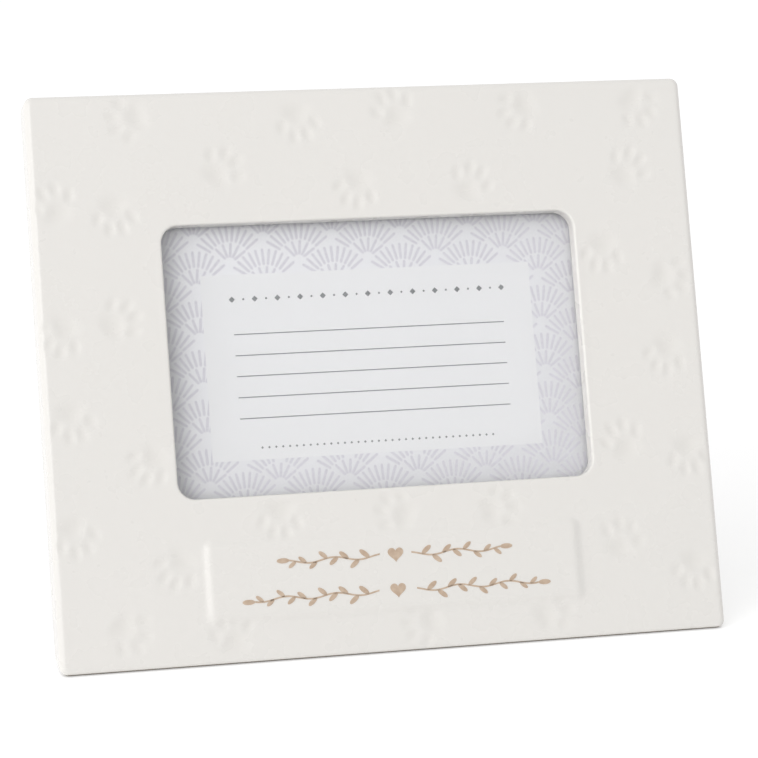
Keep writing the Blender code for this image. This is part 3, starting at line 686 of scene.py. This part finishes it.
def biscuit_shade_material():
    """Bare clay of the ground underside, painted dark grey-brown as contact shade so that it shows as a
    thin dark line below the glaze.
    """
    material = new_material("bare_biscuit_painted_shade", (0.24, 0.21, 0.17), 0.85)
    speck = between(material, add_noise(material, 1500.0, detail=4.0))
    tint(material, speck, (0.25, 0.22, 0.18), (0.19, 0.165, 0.13))
    add_bump(material, add_noise(material, 2200.0, detail=4.0), strength=0.4, depth=0.06)
    return material


def paint_material():
    """Tan underglaze paint, a little uneven where the brush ran thin."""
    material = new_material("tan_paint", (0.56, 0.42, 0.31), 0.38)
    thin = between(material, add_noise(material, 500.0))
    tint(material, thin, (0.52, 0.385, 0.28), (0.62, 0.485, 0.37))
    add_bump(material, add_noise(material, 900.0, detail=2.0), strength=0.1, depth=0.03)
    return material


def card_material(name, light, dark):
    """Uncoated card with a faint fibre."""
    material = new_material(name, light, 0.62)
    fibre = add_noise(material, 900.0, detail=5.0, roughness=0.6, stretch=(1.0, 1.0, 3.0))
    tint(material, between(material, fibre), light, dark)
    add_bump(material, add_noise(material, 2600.0), strength=0.15, depth=0.02)
    return material


def glass_material():
    """Clear picture glass that lets the lamps' light through to the card."""
    clearness = (("Transmission Weight", 1.0), ("IOR", 1.5))
    material = new_material("clear_glass", (0.975, 0.99, 0.985), 0.0, clearness)
    nodes, links = material.node_tree.nodes, material.node_tree.links
    path = nodes.new("ShaderNodeLightPath")
    clear = nodes.new("ShaderNodeBsdfTransparent")
    mix = nodes.new("ShaderNodeMixShader")
    links.new(path.outputs["Is Shadow Ray"], mix.inputs["Fac"])
    links.new(shader_of(material).outputs["BSDF"], mix.inputs[1])
    links.new(clear.outputs["BSDF"], mix.inputs[2])
    links.new(mix.outputs["Shader"], nodes["Material Output"].inputs["Surface"])
    return material


def flock_material():
    """Black flocked paper: short upright fibres that catch light at the edges."""
    sheen = (("Sheen Weight", 0.35), ("Sheen Roughness", 0.45), ("Specular IOR Level", 0.2))
    material = new_material("black_flock", (0.022, 0.022, 0.024), 0.95, sheen)
    nap = between(material, add_noise(material, 260.0, detail=5.0, roughness=0.65))
    tint(material, nap, (0.017, 0.017, 0.019), (0.034, 0.034, 0.037))
    add_bump(material, add_noise(material, 4200.0, roughness=0.7), strength=0.7, depth=0.12)
    return material


def hardboard_material():
    """The brown pressed fibre that shows at a cut edge."""
    material = new_material("hardboard_core", (0.20, 0.12, 0.07), 0.9)
    fibre = add_noise(material, 1800.0, detail=5.0, roughness=0.6, stretch=(1.0, 4.0, 1.0))
    tint(material, between(material, fibre), (0.24, 0.15, 0.09), (0.13, 0.08, 0.05))
    add_bump(material, fibre, strength=0.4, depth=0.08)
    return material


def grey_board_material():
    """Recycled grey filler board with darker flecks."""
    material = new_material("grey_filler_board", (0.45, 0.43, 0.40), 0.9)
    fleck = add_noise(material, 1200.0, detail=6.0, roughness=0.7)
    tint(material, between(material, fleck, start=0.45, end=0.7), (0.47, 0.45, 0.42), (0.30, 0.28, 0.26))
    add_bump(material, add_noise(material, 1600.0, detail=4.0), strength=0.3, depth=0.05)
    return material


def steel_material():
    """Nickel plate with fine rolling marks and a few duller patches."""
    material = new_material("nickel_plated_steel", (0.62, 0.61, 0.59), 0.28, (("Metallic", 1.0),))
    patch = between(material, add_noise(material, 160.0, detail=4.0))
    tint(material, patch, (0.66, 0.65, 0.63), (0.55, 0.535, 0.51))
    grain = add_noise(material, 900.0, stretch=(1.0, 1.0, 14.0))
    link_to(material, between(material, grain, 0.20, 0.38), "Roughness")
    add_bump(material, grain, strength=0.08, depth=0.02)
    return material


def nylon_material():
    """Moulded white nylon with a fine matt skin."""
    material = new_material("white_nylon", (0.75, 0.74, 0.70), 0.5)
    shade = between(material, add_noise(material, 700.0))
    tint(material, shade, (0.77, 0.76, 0.72), (0.70, 0.69, 0.65))
    add_bump(material, add_noise(material, 3000.0, detail=2.0), strength=0.2, depth=0.02)
    return material


def ink_material(name, colour, worn):
    """Printing ink that sinks unevenly into the card."""
    material = new_material(name, colour, 0.6)
    tint(material, between(material, add_noise(material, 1400.0, detail=4.0)), colour, worn)
    add_bump(material, add_noise(material, 2600.0), strength=0.1, depth=0.01)
    return material


def add_ceramic(glaze, biscuit_shade):
    """The glazed body, with a material of its own on the ground underside: bare clay painted dark as
    contact shade.
    """
    mesh = ceramic_mesh()
    for face in mesh.polygons:
        # Faces near the floor get the bare clay painted dark as contact shade
        if (FACE @ face.center).z < SHADED_FOOT_HEIGHT * MM:
            face.material_index = 1
    add_piece("ceramic_body", mesh, (glaze, biscuit_shade), FACE, FRAME_BODY, "ceramic_frame")


def leaf_points(length, width, steps=7):
    """A pointed leaf along X from the origin, as two arcs."""
    turns = [math.pi * step / steps for step in range(steps + 1)]
    upper = [(length * (1 - math.cos(turn)) / 2, width / 2 * math.sin(turn)) for turn in turns]
    lower = [(x, -z) for x, z in reversed(upper[1:-1])]
    return upper + lower


def heart_points(size, steps=36):
    """A plain heart round the origin, from its usual formula, which draws it 32 wide."""
    width, drop = 32, 2.5
    points = []
    for step in range(steps):
        turn = 2 * math.pi * step / steps
        x = 16 * math.sin(turn) ** 3
        z = 13 * math.cos(turn) - 5 * math.cos(2 * turn) - 2 * math.cos(3 * turn) - math.cos(4 * turn)
        points.append((x * size / width, (z + drop) * size / width))
    return points


def moved_points(points, place, degrees):
    """Points turned about the origin and moved to a place."""
    turn = Matrix.Rotation(math.radians(degrees), 2)
    return [tuple(turn @ Vector(point) + Vector(place)) for point in points]


def stem_height(distance):
    return SPRIG_WAVE * math.sin(2 * math.pi * distance / SPRIG_WAVELENGTH)


def add_sprig(bm, level, start, end, side, front, back):
    """A wavy stem from the middle out to one side, with leaves above and below it in turn."""
    line = [start + (end - start) * step / STEM_STEPS for step in range(STEM_STEPS + 1)]
    above = [(side * x, level + stem_height(x) + STEM_WIDTH / 2) for x in line]
    below = [(side * x, level + stem_height(x) - STEM_WIDTH / 2) for x in reversed(line)]
    add_prism(bm, above + below, front, back)
    count = int((end - start) / LEAF_STEP)
    for number in range(1, count + 1):
        distance = start + LEAF_STEP * number
        shrink = 1.0 - LEAF_SHRINK * number / count
        place = (side * distance, level + stem_height(distance))
        up = LEAF_TURN if number % 2 else -LEAF_TURN
        degrees = up if side > 0 else 180.0 - up
        leaf = leaf_points(LEAF_SIZE[0] * shrink, LEAF_SIZE[1] * shrink)
        add_prism(bm, moved_points(leaf, place, degrees), front, back)
    tip = (side * end, level + stem_height(end))
    add_prism(bm, moved_points(leaf_points(*LEAF_SIZE), tip, 0.0 if side > 0 else 180.0), front, back)


def add_plaque_paint(paint):
    """Two rows of sprigs, one each side of a heart."""
    front = -(PLAQUE_RISE + PAINT_RISE)
    back = -(PLAQUE_RISE - PAINT_ROOT)
    for name, (level, start, end) in (("upper", SPRIG_UPPER), ("lower", SPRIG_LOWER)):
        bm = bmesh.new()
        for side in (-1, 1):
            add_sprig(bm, level, start, end, side, front, back)
        add_prism(bm, moved_points(heart_points(HEART_SIZE), (0.0, level), 0.0), front, back)
        add_piece(f"plaque_sprig_{name}", finished(bm, f"sprig_{name}"), (paint,), FACE, FRAME_BODY)


def scallops():
    """The centres of the card's scallops, row by row, each row over the one before it."""
    across, down = SCALLOP_STEP
    half_rows = int(PRINT_HALF[1] / down) + 2
    half_columns = int(PRINT_HALF[0] / across) + 2
    for row in range(half_rows, -half_rows - 1, -1):
        shift = across / 2 if row % 2 else 0.0
        for column in range(-half_columns, half_columns + 1):
            yield row, Vector((column * across + shift, PRINT_CENTRE + row * down))


def stroke_points(start, end):
    """A round-ended stroke between two points."""
    along = (end - start).normalized()
    across = Vector((-along.y, along.x)) * STROKE_WIDTH / 2
    points = []
    for centre, first in ((end, -90.0), (start, 90.0)):
        for step in range(STROKE_END_STEPS + 1):
            turn = math.radians(first + 180.0 * step / STROKE_END_STEPS)
            reach = along * math.cos(turn) * STROKE_WIDTH / 2 + across * math.sin(turn)
            points.append(tuple(centre + reach))
    return points


def shown_part(start, end, hiders):
    """The stretch of a stroke that no nearer scallop hides and that lies on the card, or None."""
    samples = [start.lerp(end, step / STROKE_SAMPLES) for step in range(STROKE_SAMPLES + 1)]
    limit = (PRINT_HALF[0] - STROKE_MARGIN, PRINT_HALF[1] - STROKE_MARGIN)
    shown = []
    for point in samples:
        hidden = any((point - centre).length < SCALLOP_RADIUS + STROKE_MARGIN for centre in hiders)
        off_card = abs(point.x) > limit[0] or abs(point.y - PRINT_CENTRE) > limit[1]
        under_panel = abs(point.x - PRINT_SHIFT[0]) < PANEL_SIZE[0] / 2 - STROKE_WIDTH
        under_panel = under_panel and abs(point.y - PANEL_CENTRE[1]) < PANEL_SIZE[1] / 2 - STROKE_WIDTH
        if not (hidden or off_card or under_panel):
            shown.append(point)
    if len(shown) < 2 or (shown[-1] - shown[0]).length < SHORTEST_STROKE:
        return None
    return shown[0], shown[-1]


def add_card_border(ink):
    """Rows of overlapping scallops, each filled with rings of short strokes that point outwards."""
    reach = SCALLOP_OVERLAP * SCALLOP_RADIUS
    front = CARD_LOW[1] - INK_RISE
    back = CARD_LOW[1] + INK_RISE
    placed = list(scallops())
    bm = bmesh.new()
    for row, centre in placed:
        lower = [other for other_row, other in placed if other_row < row]
        hiders = [other for other in lower if (other - centre).length < reach]
        for inner, outer, count in SCALLOP_RINGS:
            for number in range(count):
                turn = 2 * math.pi * (number + 0.5) / count
                ray = Vector((math.cos(turn), math.sin(turn)))
                shown = shown_part(centre + ray * inner, centre + ray * outer, hiders)
                if shown:
                    add_prism(bm, stroke_points(*shown), front, back)
    add_piece("card_border_strokes", finished(bm, "border_strokes"), (ink,), FACE, FRAME_BODY)


def add_card(card, panel_card, rule_ink):
    """The card sheet, its plain panel, and on that the rules and a row of figures above and below."""
    low, high = (CARD_LOW[0], CARD_LOW[2]), (CARD_HIGH[0], CARD_HIGH[2])
    outline = rounded_rectangle(low, high, CARD_CORNER, steps=3)
    sheet = finished(plate(outline, CARD_LOW[1], CARD_HIGH[1], CARD_EDGE), "card_sheet")
    add_piece("card_sheet", sheet, (card,), FACE, FRAME_BODY, "print_card")
    level = CARD_LOW[1]
    bm = bmesh.new()
    low = (PANEL_CENTRE[0] - PANEL_SIZE[0] / 2, PANEL_CENTRE[1] - PANEL_SIZE[1] / 2)
    high = (PANEL_CENTRE[0] + PANEL_SIZE[0] / 2, PANEL_CENTRE[1] + PANEL_SIZE[1] / 2)
    outline = rounded_rectangle(low, high, CARD_EDGE, steps=3)
    add_prism(bm, outline, level - 2 * INK_RISE, level + INK_RISE)
    add_piece("card_writing_panel", finished(bm, "panel"), (panel_card,), FACE, FRAME_BODY)
    front, back = level - 3 * INK_RISE, level
    bm = bmesh.new()
    for height in RULE_HEIGHTS:
        start, end = PANEL_CENTRE[0] - RULE_LENGTH / 2, PANEL_CENTRE[0] + RULE_LENGTH / 2
        ends = ((start, height - RULE_THICKNESS / 2), (end, height + RULE_THICKNESS / 2))
        add_prism(bm, rounded_rectangle(*ends, RULE_THICKNESS / 3, steps=2), front, back)
    add_piece("card_rules", finished(bm, "rules"), (rule_ink,), FACE, FRAME_BODY)
    bm = bmesh.new()
    for height, length, count, sizes in (HEADER, FOOTER):
        for number in range(count):
            x = PANEL_CENTRE[0] + length * (number / (count - 1) - 0.5)
            half = sizes[number % 2] / 2
            diamond = [(x + half, height), (x, height + half), (x - half, height), (x, height - half)]
            add_prism(bm, diamond, front, back)
    add_piece("card_figures", finished(bm, "figures"), (rule_ink,), FACE, FRAME_BODY)


def add_board(flock, core):
    """The back board: flocked faces and brown cut edges."""
    low, high = (BOARD_LOW[0], BOARD_LOW[2]), (BOARD_HIGH[0], BOARD_HIGH[2])
    outline = rounded_rectangle(low, high, RECESS_CORNER)
    mesh = finished(plate(outline, BOARD_LOW[1], BOARD_HIGH[1], BOARD_EDGE), "board")
    edge_faces(mesh, BOARD_LOW[1], BOARD_HIGH[1])
    add_piece("flocked_back_board", mesh, (flock, core), FACE, FRAME_BODY, "back_board")


def edge_faces(mesh, front, back):
    """Gives the second material to the faces at the cut edge of a board."""
    middle, reach = (front + back) / 2, (back - front) / 2 - BOARD_EDGE
    for face in mesh.polygons:
        if abs(face.center.y / MM - middle) < reach * BOARD_EDGE_SHARE:
            face.material_index = 1


def add_leg(flock, core):
    """The easel leg: it widens to a foot that is cut level where it stands open."""
    back = KNUCKLE_RADIUS - LEAF_THICKNESS - SEAT_GAP
    front = back - LEG_THICKNESS
    top = -(KNUCKLE_RADIUS + LEG_TOP_GAP)
    splay = LEG_OPENING - LEAN
    ends = ((-LEG_TOP_WIDTH / 2, -LEG_LIFT), (LEG_TOP_WIDTH / 2, top))
    bm = plate(rounded_rectangle(*ends, LEG_CORNER), front, back, BOARD_EDGE)
    for vert in bm.verts:
        down = (top - vert.co.z) / (top + LEG_LIFT)
        vert.co.x *= 1 + (LEG_FOOT_WIDTH / LEG_TOP_WIDTH - 1) * down
        foot = -(LEG_LIFT + vert.co.y * math.sin(splay)) / math.cos(splay)
        vert.co.z += (foot + LEG_LIFT) * down
    mesh = finished(bm, "leg")
    edge_faces(mesh, front, back)
    add_piece("flocked_easel_leg", mesh, (flock, core), LEG, LEG_BODY, "easel_leg")


def barrel(bm, start, end):
    """A rolled knuckle: a tube along X with a small rounding at each mouth."""
    lip = KNUCKLE_MOUTH
    bore = PIN_RADIUS + PIN_CLEARANCE
    profile = (
        (bore, start + lip),
        (bore + lip, start),
        (KNUCKLE_RADIUS - lip, start),
        (KNUCKLE_RADIUS, start + lip),
        (KNUCKLE_RADIUS, end - lip),
        (KNUCKLE_RADIUS - lip, end),
        (bore + lip, end),
        (bore, end - lip),
    )
    add_turned(bm, profile, "X", closed=True)


def leaf_mesh(name, outline, front, knuckles):
    """A stamped leaf with its rolled knuckles, each from one place to another along the pin."""
    bm = plate(outline, front, front + LEAF_THICKNESS, STAMPED_EDGE)
    for start, end in knuckles:
        barrel(bm, start, end)
    return finished(bm, name)


def add_board_leaf(steel):
    """The leaf on the back board, with the two outer knuckles."""
    half = HINGE_WIDTH / 2
    inner = half - OUTER_KNUCKLE
    clear = KNUCKLE_RADIUS + KNUCKLE_GAP
    corners = rounded_rectangle((-half, 0.0), (half, LEAF_LENGTH), LEAF_CORNER, steps=5)
    upper = [point for point in corners if point[1] > LEAF_LENGTH / 2]
    lower = [(-half, 0.0), (-inner, 0.0), (-inner, clear), (inner, clear), (inner, 0.0), (half, 0.0)]
    mesh = leaf_mesh("leaf_board", upper + lower, -KNUCKLE_RADIUS, ((-half, -inner), (inner, half)))
    add_piece("hinge_leaf_board", mesh, (steel,), HINGE, FRAME_BODY,
              "hinge_leaf_fixed")


def add_leg_leaf(steel):
    """The leaf on the leg, with the inner knuckles and between them the heel that stops the opening."""
    half = HINGE_WIDTH / 2
    inner = half - OUTER_KNUCKLE - KNUCKLE_GAP
    clear = KNUCKLE_RADIUS + KNUCKLE_GAP
    corners = rounded_rectangle((-half, -LEAF_LENGTH), (half, 0.0), LEAF_CORNER, steps=5)
    lower = [point for point in corners if point[1] < -LEAF_LENGTH / 2]
    right = [(half, -clear), (inner, -clear), (inner, 0.0), (HEEL_HALF, 0.0), (HEEL_HALF, HEEL_REACH)]
    left = [(-x, z) for x, z in reversed(right)]
    knuckles = ((-inner, -HEEL_HALF), (HEEL_HALF, inner))
    mesh = leaf_mesh("leaf_leg", lower + right + left, KNUCKLE_RADIUS - LEAF_THICKNESS, knuckles)
    add_piece("hinge_leaf_leg", mesh, (steel,), LEG, LEG_BODY, "hinge_leaf_moving")


def add_pin(steel):
    """The hinge pin, with a dome at each end."""
    end = HINGE_WIDTH / 2 + PIN_OVERHANG
    head = domed(*PIN_HEAD, end)
    tail = [(radius, -place) for radius, place in reversed(head)]
    profile = tail + [(PIN_RADIUS, -end), (PIN_RADIUS, end)] + head
    pin = turned_mesh("pin", profile, axis="X")
    add_piece("hinge_pin_domed", pin, (steel,), HINGE, FRAME_BODY, "hinge_pin")


def add_rivet(name, place, matrix, body, node, leaf_back, length, steel):
    """A domed rivet on a leaf at (x, z), with its tail in the board's pocket."""
    base = leaf_back + RIVET_CLEARANCE
    tail_radius, tail_height = RIVET_TAIL
    head_radius, head_height = RIVET_HEAD
    inset, chamfer = RIVET_CHAMFER
    profile = [
        (0.0, -length),
        (tail_radius, -length),
        (tail_radius, tail_height - length),
        (RIVET_SHANK, tail_height - length),
        (RIVET_SHANK, 0.0),
        (head_radius - inset, 0.0),
        (head_radius, chamfer),
    ]
    profile += domed(head_radius, head_height - chamfer, chamfer)[1:]
    mesh = turned_mesh(name, profile)
    mesh.transform(Matrix.Translation(Vector((place[0], base, place[1])) * MM))
    add_piece(name, mesh, (steel,), matrix, body, node)


def add_rivets(steel):
    """Two rivets through each leaf, with their tails in the back board and in the leg."""
    board_length = HINGE_DEPTH - BOARD_LOW[1] - KNUCKLE_RADIUS + LEAF_THICKNESS
    leg_length = LEG_THICKNESS + LEAF_THICKNESS + SEAT_GAP
    for side, sign in (("left", -1), ("right", 1)):
        above = (sign * RIVET_SPREAD, RIVET_SETBACK)
        below = (sign * RIVET_SPREAD, -RIVET_SETBACK)
        add_rivet(f"rivet_board_{side}", above, HINGE, FRAME_BODY, f"board_rivet_{side}",
                  -KNUCKLE_RADIUS + LEAF_THICKNESS, board_length, steel)
        add_rivet(f"rivet_leg_{side}", below, LEG, LEG_BODY, f"leg_rivet_{side}",
                  KNUCKLE_RADIUS, leg_length, steel)


def cut_with(piece_mesh, cutter_mesh):
    """The first mesh less the second."""
    body = new_object("cut_body", piece_mesh)
    cutter = new_object("cut_tool", cutter_mesh)
    modifier = body.modifiers.new("cut", "BOOLEAN")
    modifier.operation = "DIFFERENCE"
    modifier.solver = "EXACT"
    modifier.object = cutter
    bpy.context.view_layer.update()
    graph = bpy.context.evaluated_depsgraph_get()
    result = bpy.data.meshes.new_from_object(body.evaluated_get(graph))
    for item in (body, cutter):
        bpy.data.objects.remove(item)
    result.shade_smooth()
    result.set_sharp_from_angle(angle=SMOOTH_ANGLE)
    return result


def screw_mesh():
    """A slotted pan-head screw from the front of its head, with a pointed shank."""
    radius, height = SCREW_HEAD
    profile = [
        (0.0, -SCREW_LENGTH),
        (SCREW_RADIUS, SCREW_POINT - SCREW_LENGTH),
        (SCREW_RADIUS, 0.0),
        (radius - SCREW_CHAMFER, 0.0),
        (radius, SCREW_CHAMFER),
        (radius, SCREW_HEAD_EDGE),
    ]
    profile += domed(radius, height - SCREW_HEAD_EDGE, SCREW_HEAD_EDGE)[1:]
    screw = turned_mesh("screw", profile)
    bm = bmesh.new()
    width, depth = SCREW_SLOT
    reach = radius + CUT_REACH
    slot = rounded_rectangle((-reach, -width / 2), (reach, width / 2), SLOT_CORNER, steps=2)
    add_prism(bm, slot, height - depth, height + CUT_REACH)
    return cut_with(screw, finished(bm, "slot"))


def button_mesh(swing):
    """A stamped turn button, from its pivot down to the end that laps over the board."""
    ends = ((-BUTTON_WIDTH / 2, -swing), (BUTTON_WIDTH / 2, BUTTON_WIDTH / 2))
    outline = rounded_rectangle(*ends, BUTTON_WIDTH / 2 - BUTTON_END_FLAT, steps=14)
    blank = finished(plate(outline, 0.0, BUTTON_THICKNESS, STAMPED_EDGE), "button")
    start, end = BUTTON_HOLE_CUT
    bore = [(0.0, start), (BUTTON_HOLE_RADIUS, start), (BUTTON_HOLE_RADIUS, end), (0.0, end)]
    return cut_with(blank, turned_mesh("bore", bore))


def add_buttons(steel):
    """The four turn buttons and their screws, whose slots point different ways."""
    screw = screw_mesh()
    for name in BUTTONS:
        pivot = Vector(joint(f"button_{name}_turn")["pos_m"])
        low, high = leaning_box(f"turn_button_{name}", pivot)
        swing = max(-low[2], high[2])
        turn = 0.0 if -low[2] > high[2] else math.pi
        matrix = Matrix.Translation(pivot) @ Matrix.Rotation(-LEAN, 4, "X")
        pointed = matrix @ Matrix.Rotation(turn, 4, "Y")
        add_piece(f"stamped_button_{name}", button_mesh(swing), (steel,), pointed, f"button_{name}",
                  f"turn_button_{name}")
        head_low = leaning_box(f"button_screw_{name}", pivot)[1][1] - SCREW_HEAD[1]
        stopped = Matrix.Rotation(math.radians(SCREW_TURN + SCREW_TURN_STEP * len(name)), 4, "Y")
        place = matrix @ Matrix.Translation((0.0, head_low * MM, 0.0)) @ stopped
        add_piece(f"slotted_screw_{name}", screw.copy(), (steel,), place, FRAME_BODY,
                  f"button_screw_{name}")


def dress_node(name, material):
    """Gives a carried-over solid its material."""
    node = frame["nodes"][name]
    node.data.materials.clear()
    node.data.materials.append(material)


def seen_directly(tree):
    """1 for rays from the camera, a gloss or a glass, and 0 for all others."""
    path = tree.nodes.new("ShaderNodeLightPath")
    seen = path.outputs["Is Camera Ray"]
    for other in ("Is Glossy Ray", "Is Transmission Ray"):
        either = tree.nodes.new("ShaderNodeMath")
        either.operation = "MAXIMUM"
        tree.links.new(seen, either.inputs[0])
        tree.links.new(path.outputs[other], either.inputs[1])
        seen = either.outputs["Value"]
    return seen


def floor_material():
    """Pale and matt, with a glow that whitens it where it is seen and doesn't light the object."""
    glow = (("Emission Color", (1.0, 1.0, 1.0, 1.0)), ("Specular IOR Level", 0.0))
    material = new_material("pale_floor", (0.93, 0.93, 0.93), 0.9, glow)
    strength = material.node_tree.nodes.new("ShaderNodeMath")
    strength.operation = "MULTIPLY"
    strength.inputs[1].default_value = FLOOR_GLOW
    material.node_tree.links.new(seen_directly(material.node_tree), strength.inputs[0])
    link_to(material, strength.outputs["Value"], "Emission Strength")
    return material


def add_floor():
    """A plain pale floor that renders white away from the object and keeps its shadow."""
    bm = bmesh.new()
    bmesh.ops.create_grid(bm, x_segments=FLOOR_CELLS, y_segments=FLOOR_CELLS, size=FLOOR_HALF)
    mesh = bpy.data.meshes.new("floor")
    bm.to_mesh(mesh)
    bm.free()
    mesh.materials.append(floor_material())
    floor = new_object("floor", mesh)
    floor.location.z = -FLOOR_DROP


def add_sky():
    """Soft light from all round, and white where the camera, a gloss or the glass sees it."""
    world = bpy.data.worlds.new("studio")
    bpy.context.scene.world = world
    world.use_nodes = True
    tree = world.node_tree
    background = tree.nodes["Background"]
    background.inputs["Color"].default_value = (1.0, 1.0, 1.0, 1.0)
    strength = tree.nodes.new("ShaderNodeMapRange")
    strength.inputs["To Min"].default_value = SKY_LIGHT
    strength.inputs["To Max"].default_value = 1.0
    tree.links.new(seen_directly(tree), strength.inputs["Value"])
    tree.links.new(strength.outputs["Result"], background.inputs["Strength"])


def add_lamp(name, kind, place, towards):
    """A lamp at a place, seen from the object in the direction given."""
    lamp = new_object(name, bpy.data.lights.new(name, kind))
    lamp.location = place
    lamp.rotation_euler = towards.to_track_quat("Z", "Y").to_euler()
    return lamp


def add_lamps():
    """The key lamp, which no gloss mirrors, and the soft box, which faces the object's middle."""
    key = add_lamp("key_lamp", "SUN", KEY_TOWARDS, Vector(KEY_TOWARDS))
    key.data.energy = KEY_STRENGTH
    key.data.angle = KEY_WIDTH
    key.visible_glossy = False
    middle = Vector((0.0, 0.0, FRAME_HEIGHT * MM / 2))
    box = add_lamp("soft_box", "AREA", SOFT_BOX_PLACE, Vector(SOFT_BOX_PLACE) - middle)
    box.data.energy = SOFT_BOX_POWER
    box.data.size = SOFT_BOX_SIZE


def add_camera():
    """The camera of the main view."""
    camera = bpy.data.cameras.new("camera")
    camera.sensor_width = CAMERA_SENSOR
    camera.lens = CAMERA_LENS
    holder = new_object("camera", camera)
    holder.location = CAMERA_PLACE
    holder.rotation_euler = Vector(CAMERA_AIM).to_track_quat("-Z", "Y").to_euler()
    bpy.context.scene.camera = holder


add_camera()
add_sky()
add_lamps()
add_floor()

steel = steel_material()
flock = flock_material()
core = hardboard_material()
nylon = nylon_material()
add_ceramic(glaze_material(), biscuit_shade_material())
add_plaque_paint(paint_material())
add_card(
    card_material("card_stock", (0.84, 0.82, 0.85), (0.82, 0.80, 0.835)),
    card_material("panel_stock", (0.85, 0.83, 0.85), (0.835, 0.815, 0.835)),
    ink_material("grey_ink", (0.17, 0.17, 0.18), (0.24, 0.24, 0.25)),
)
add_card_border(ink_material("lavender_ink", (0.66, 0.63, 0.69), (0.71, 0.68, 0.735)))
dress_node("glass_pane", glass_material())
dress_node("filler_card", grey_board_material())
add_board(flock, core)
add_leg(flock, core)
add_board_leaf(steel)
add_leg_leaf(steel)
add_pin(steel)
add_rivets(steel)
add_buttons(steel)
for place_name in BUTTONS:
    dress_node(f"anchor_plug_{place_name}", nylon)

bpy.context.scene.view_settings.view_transform = "Standard"

bpy.context.view_layer.update()
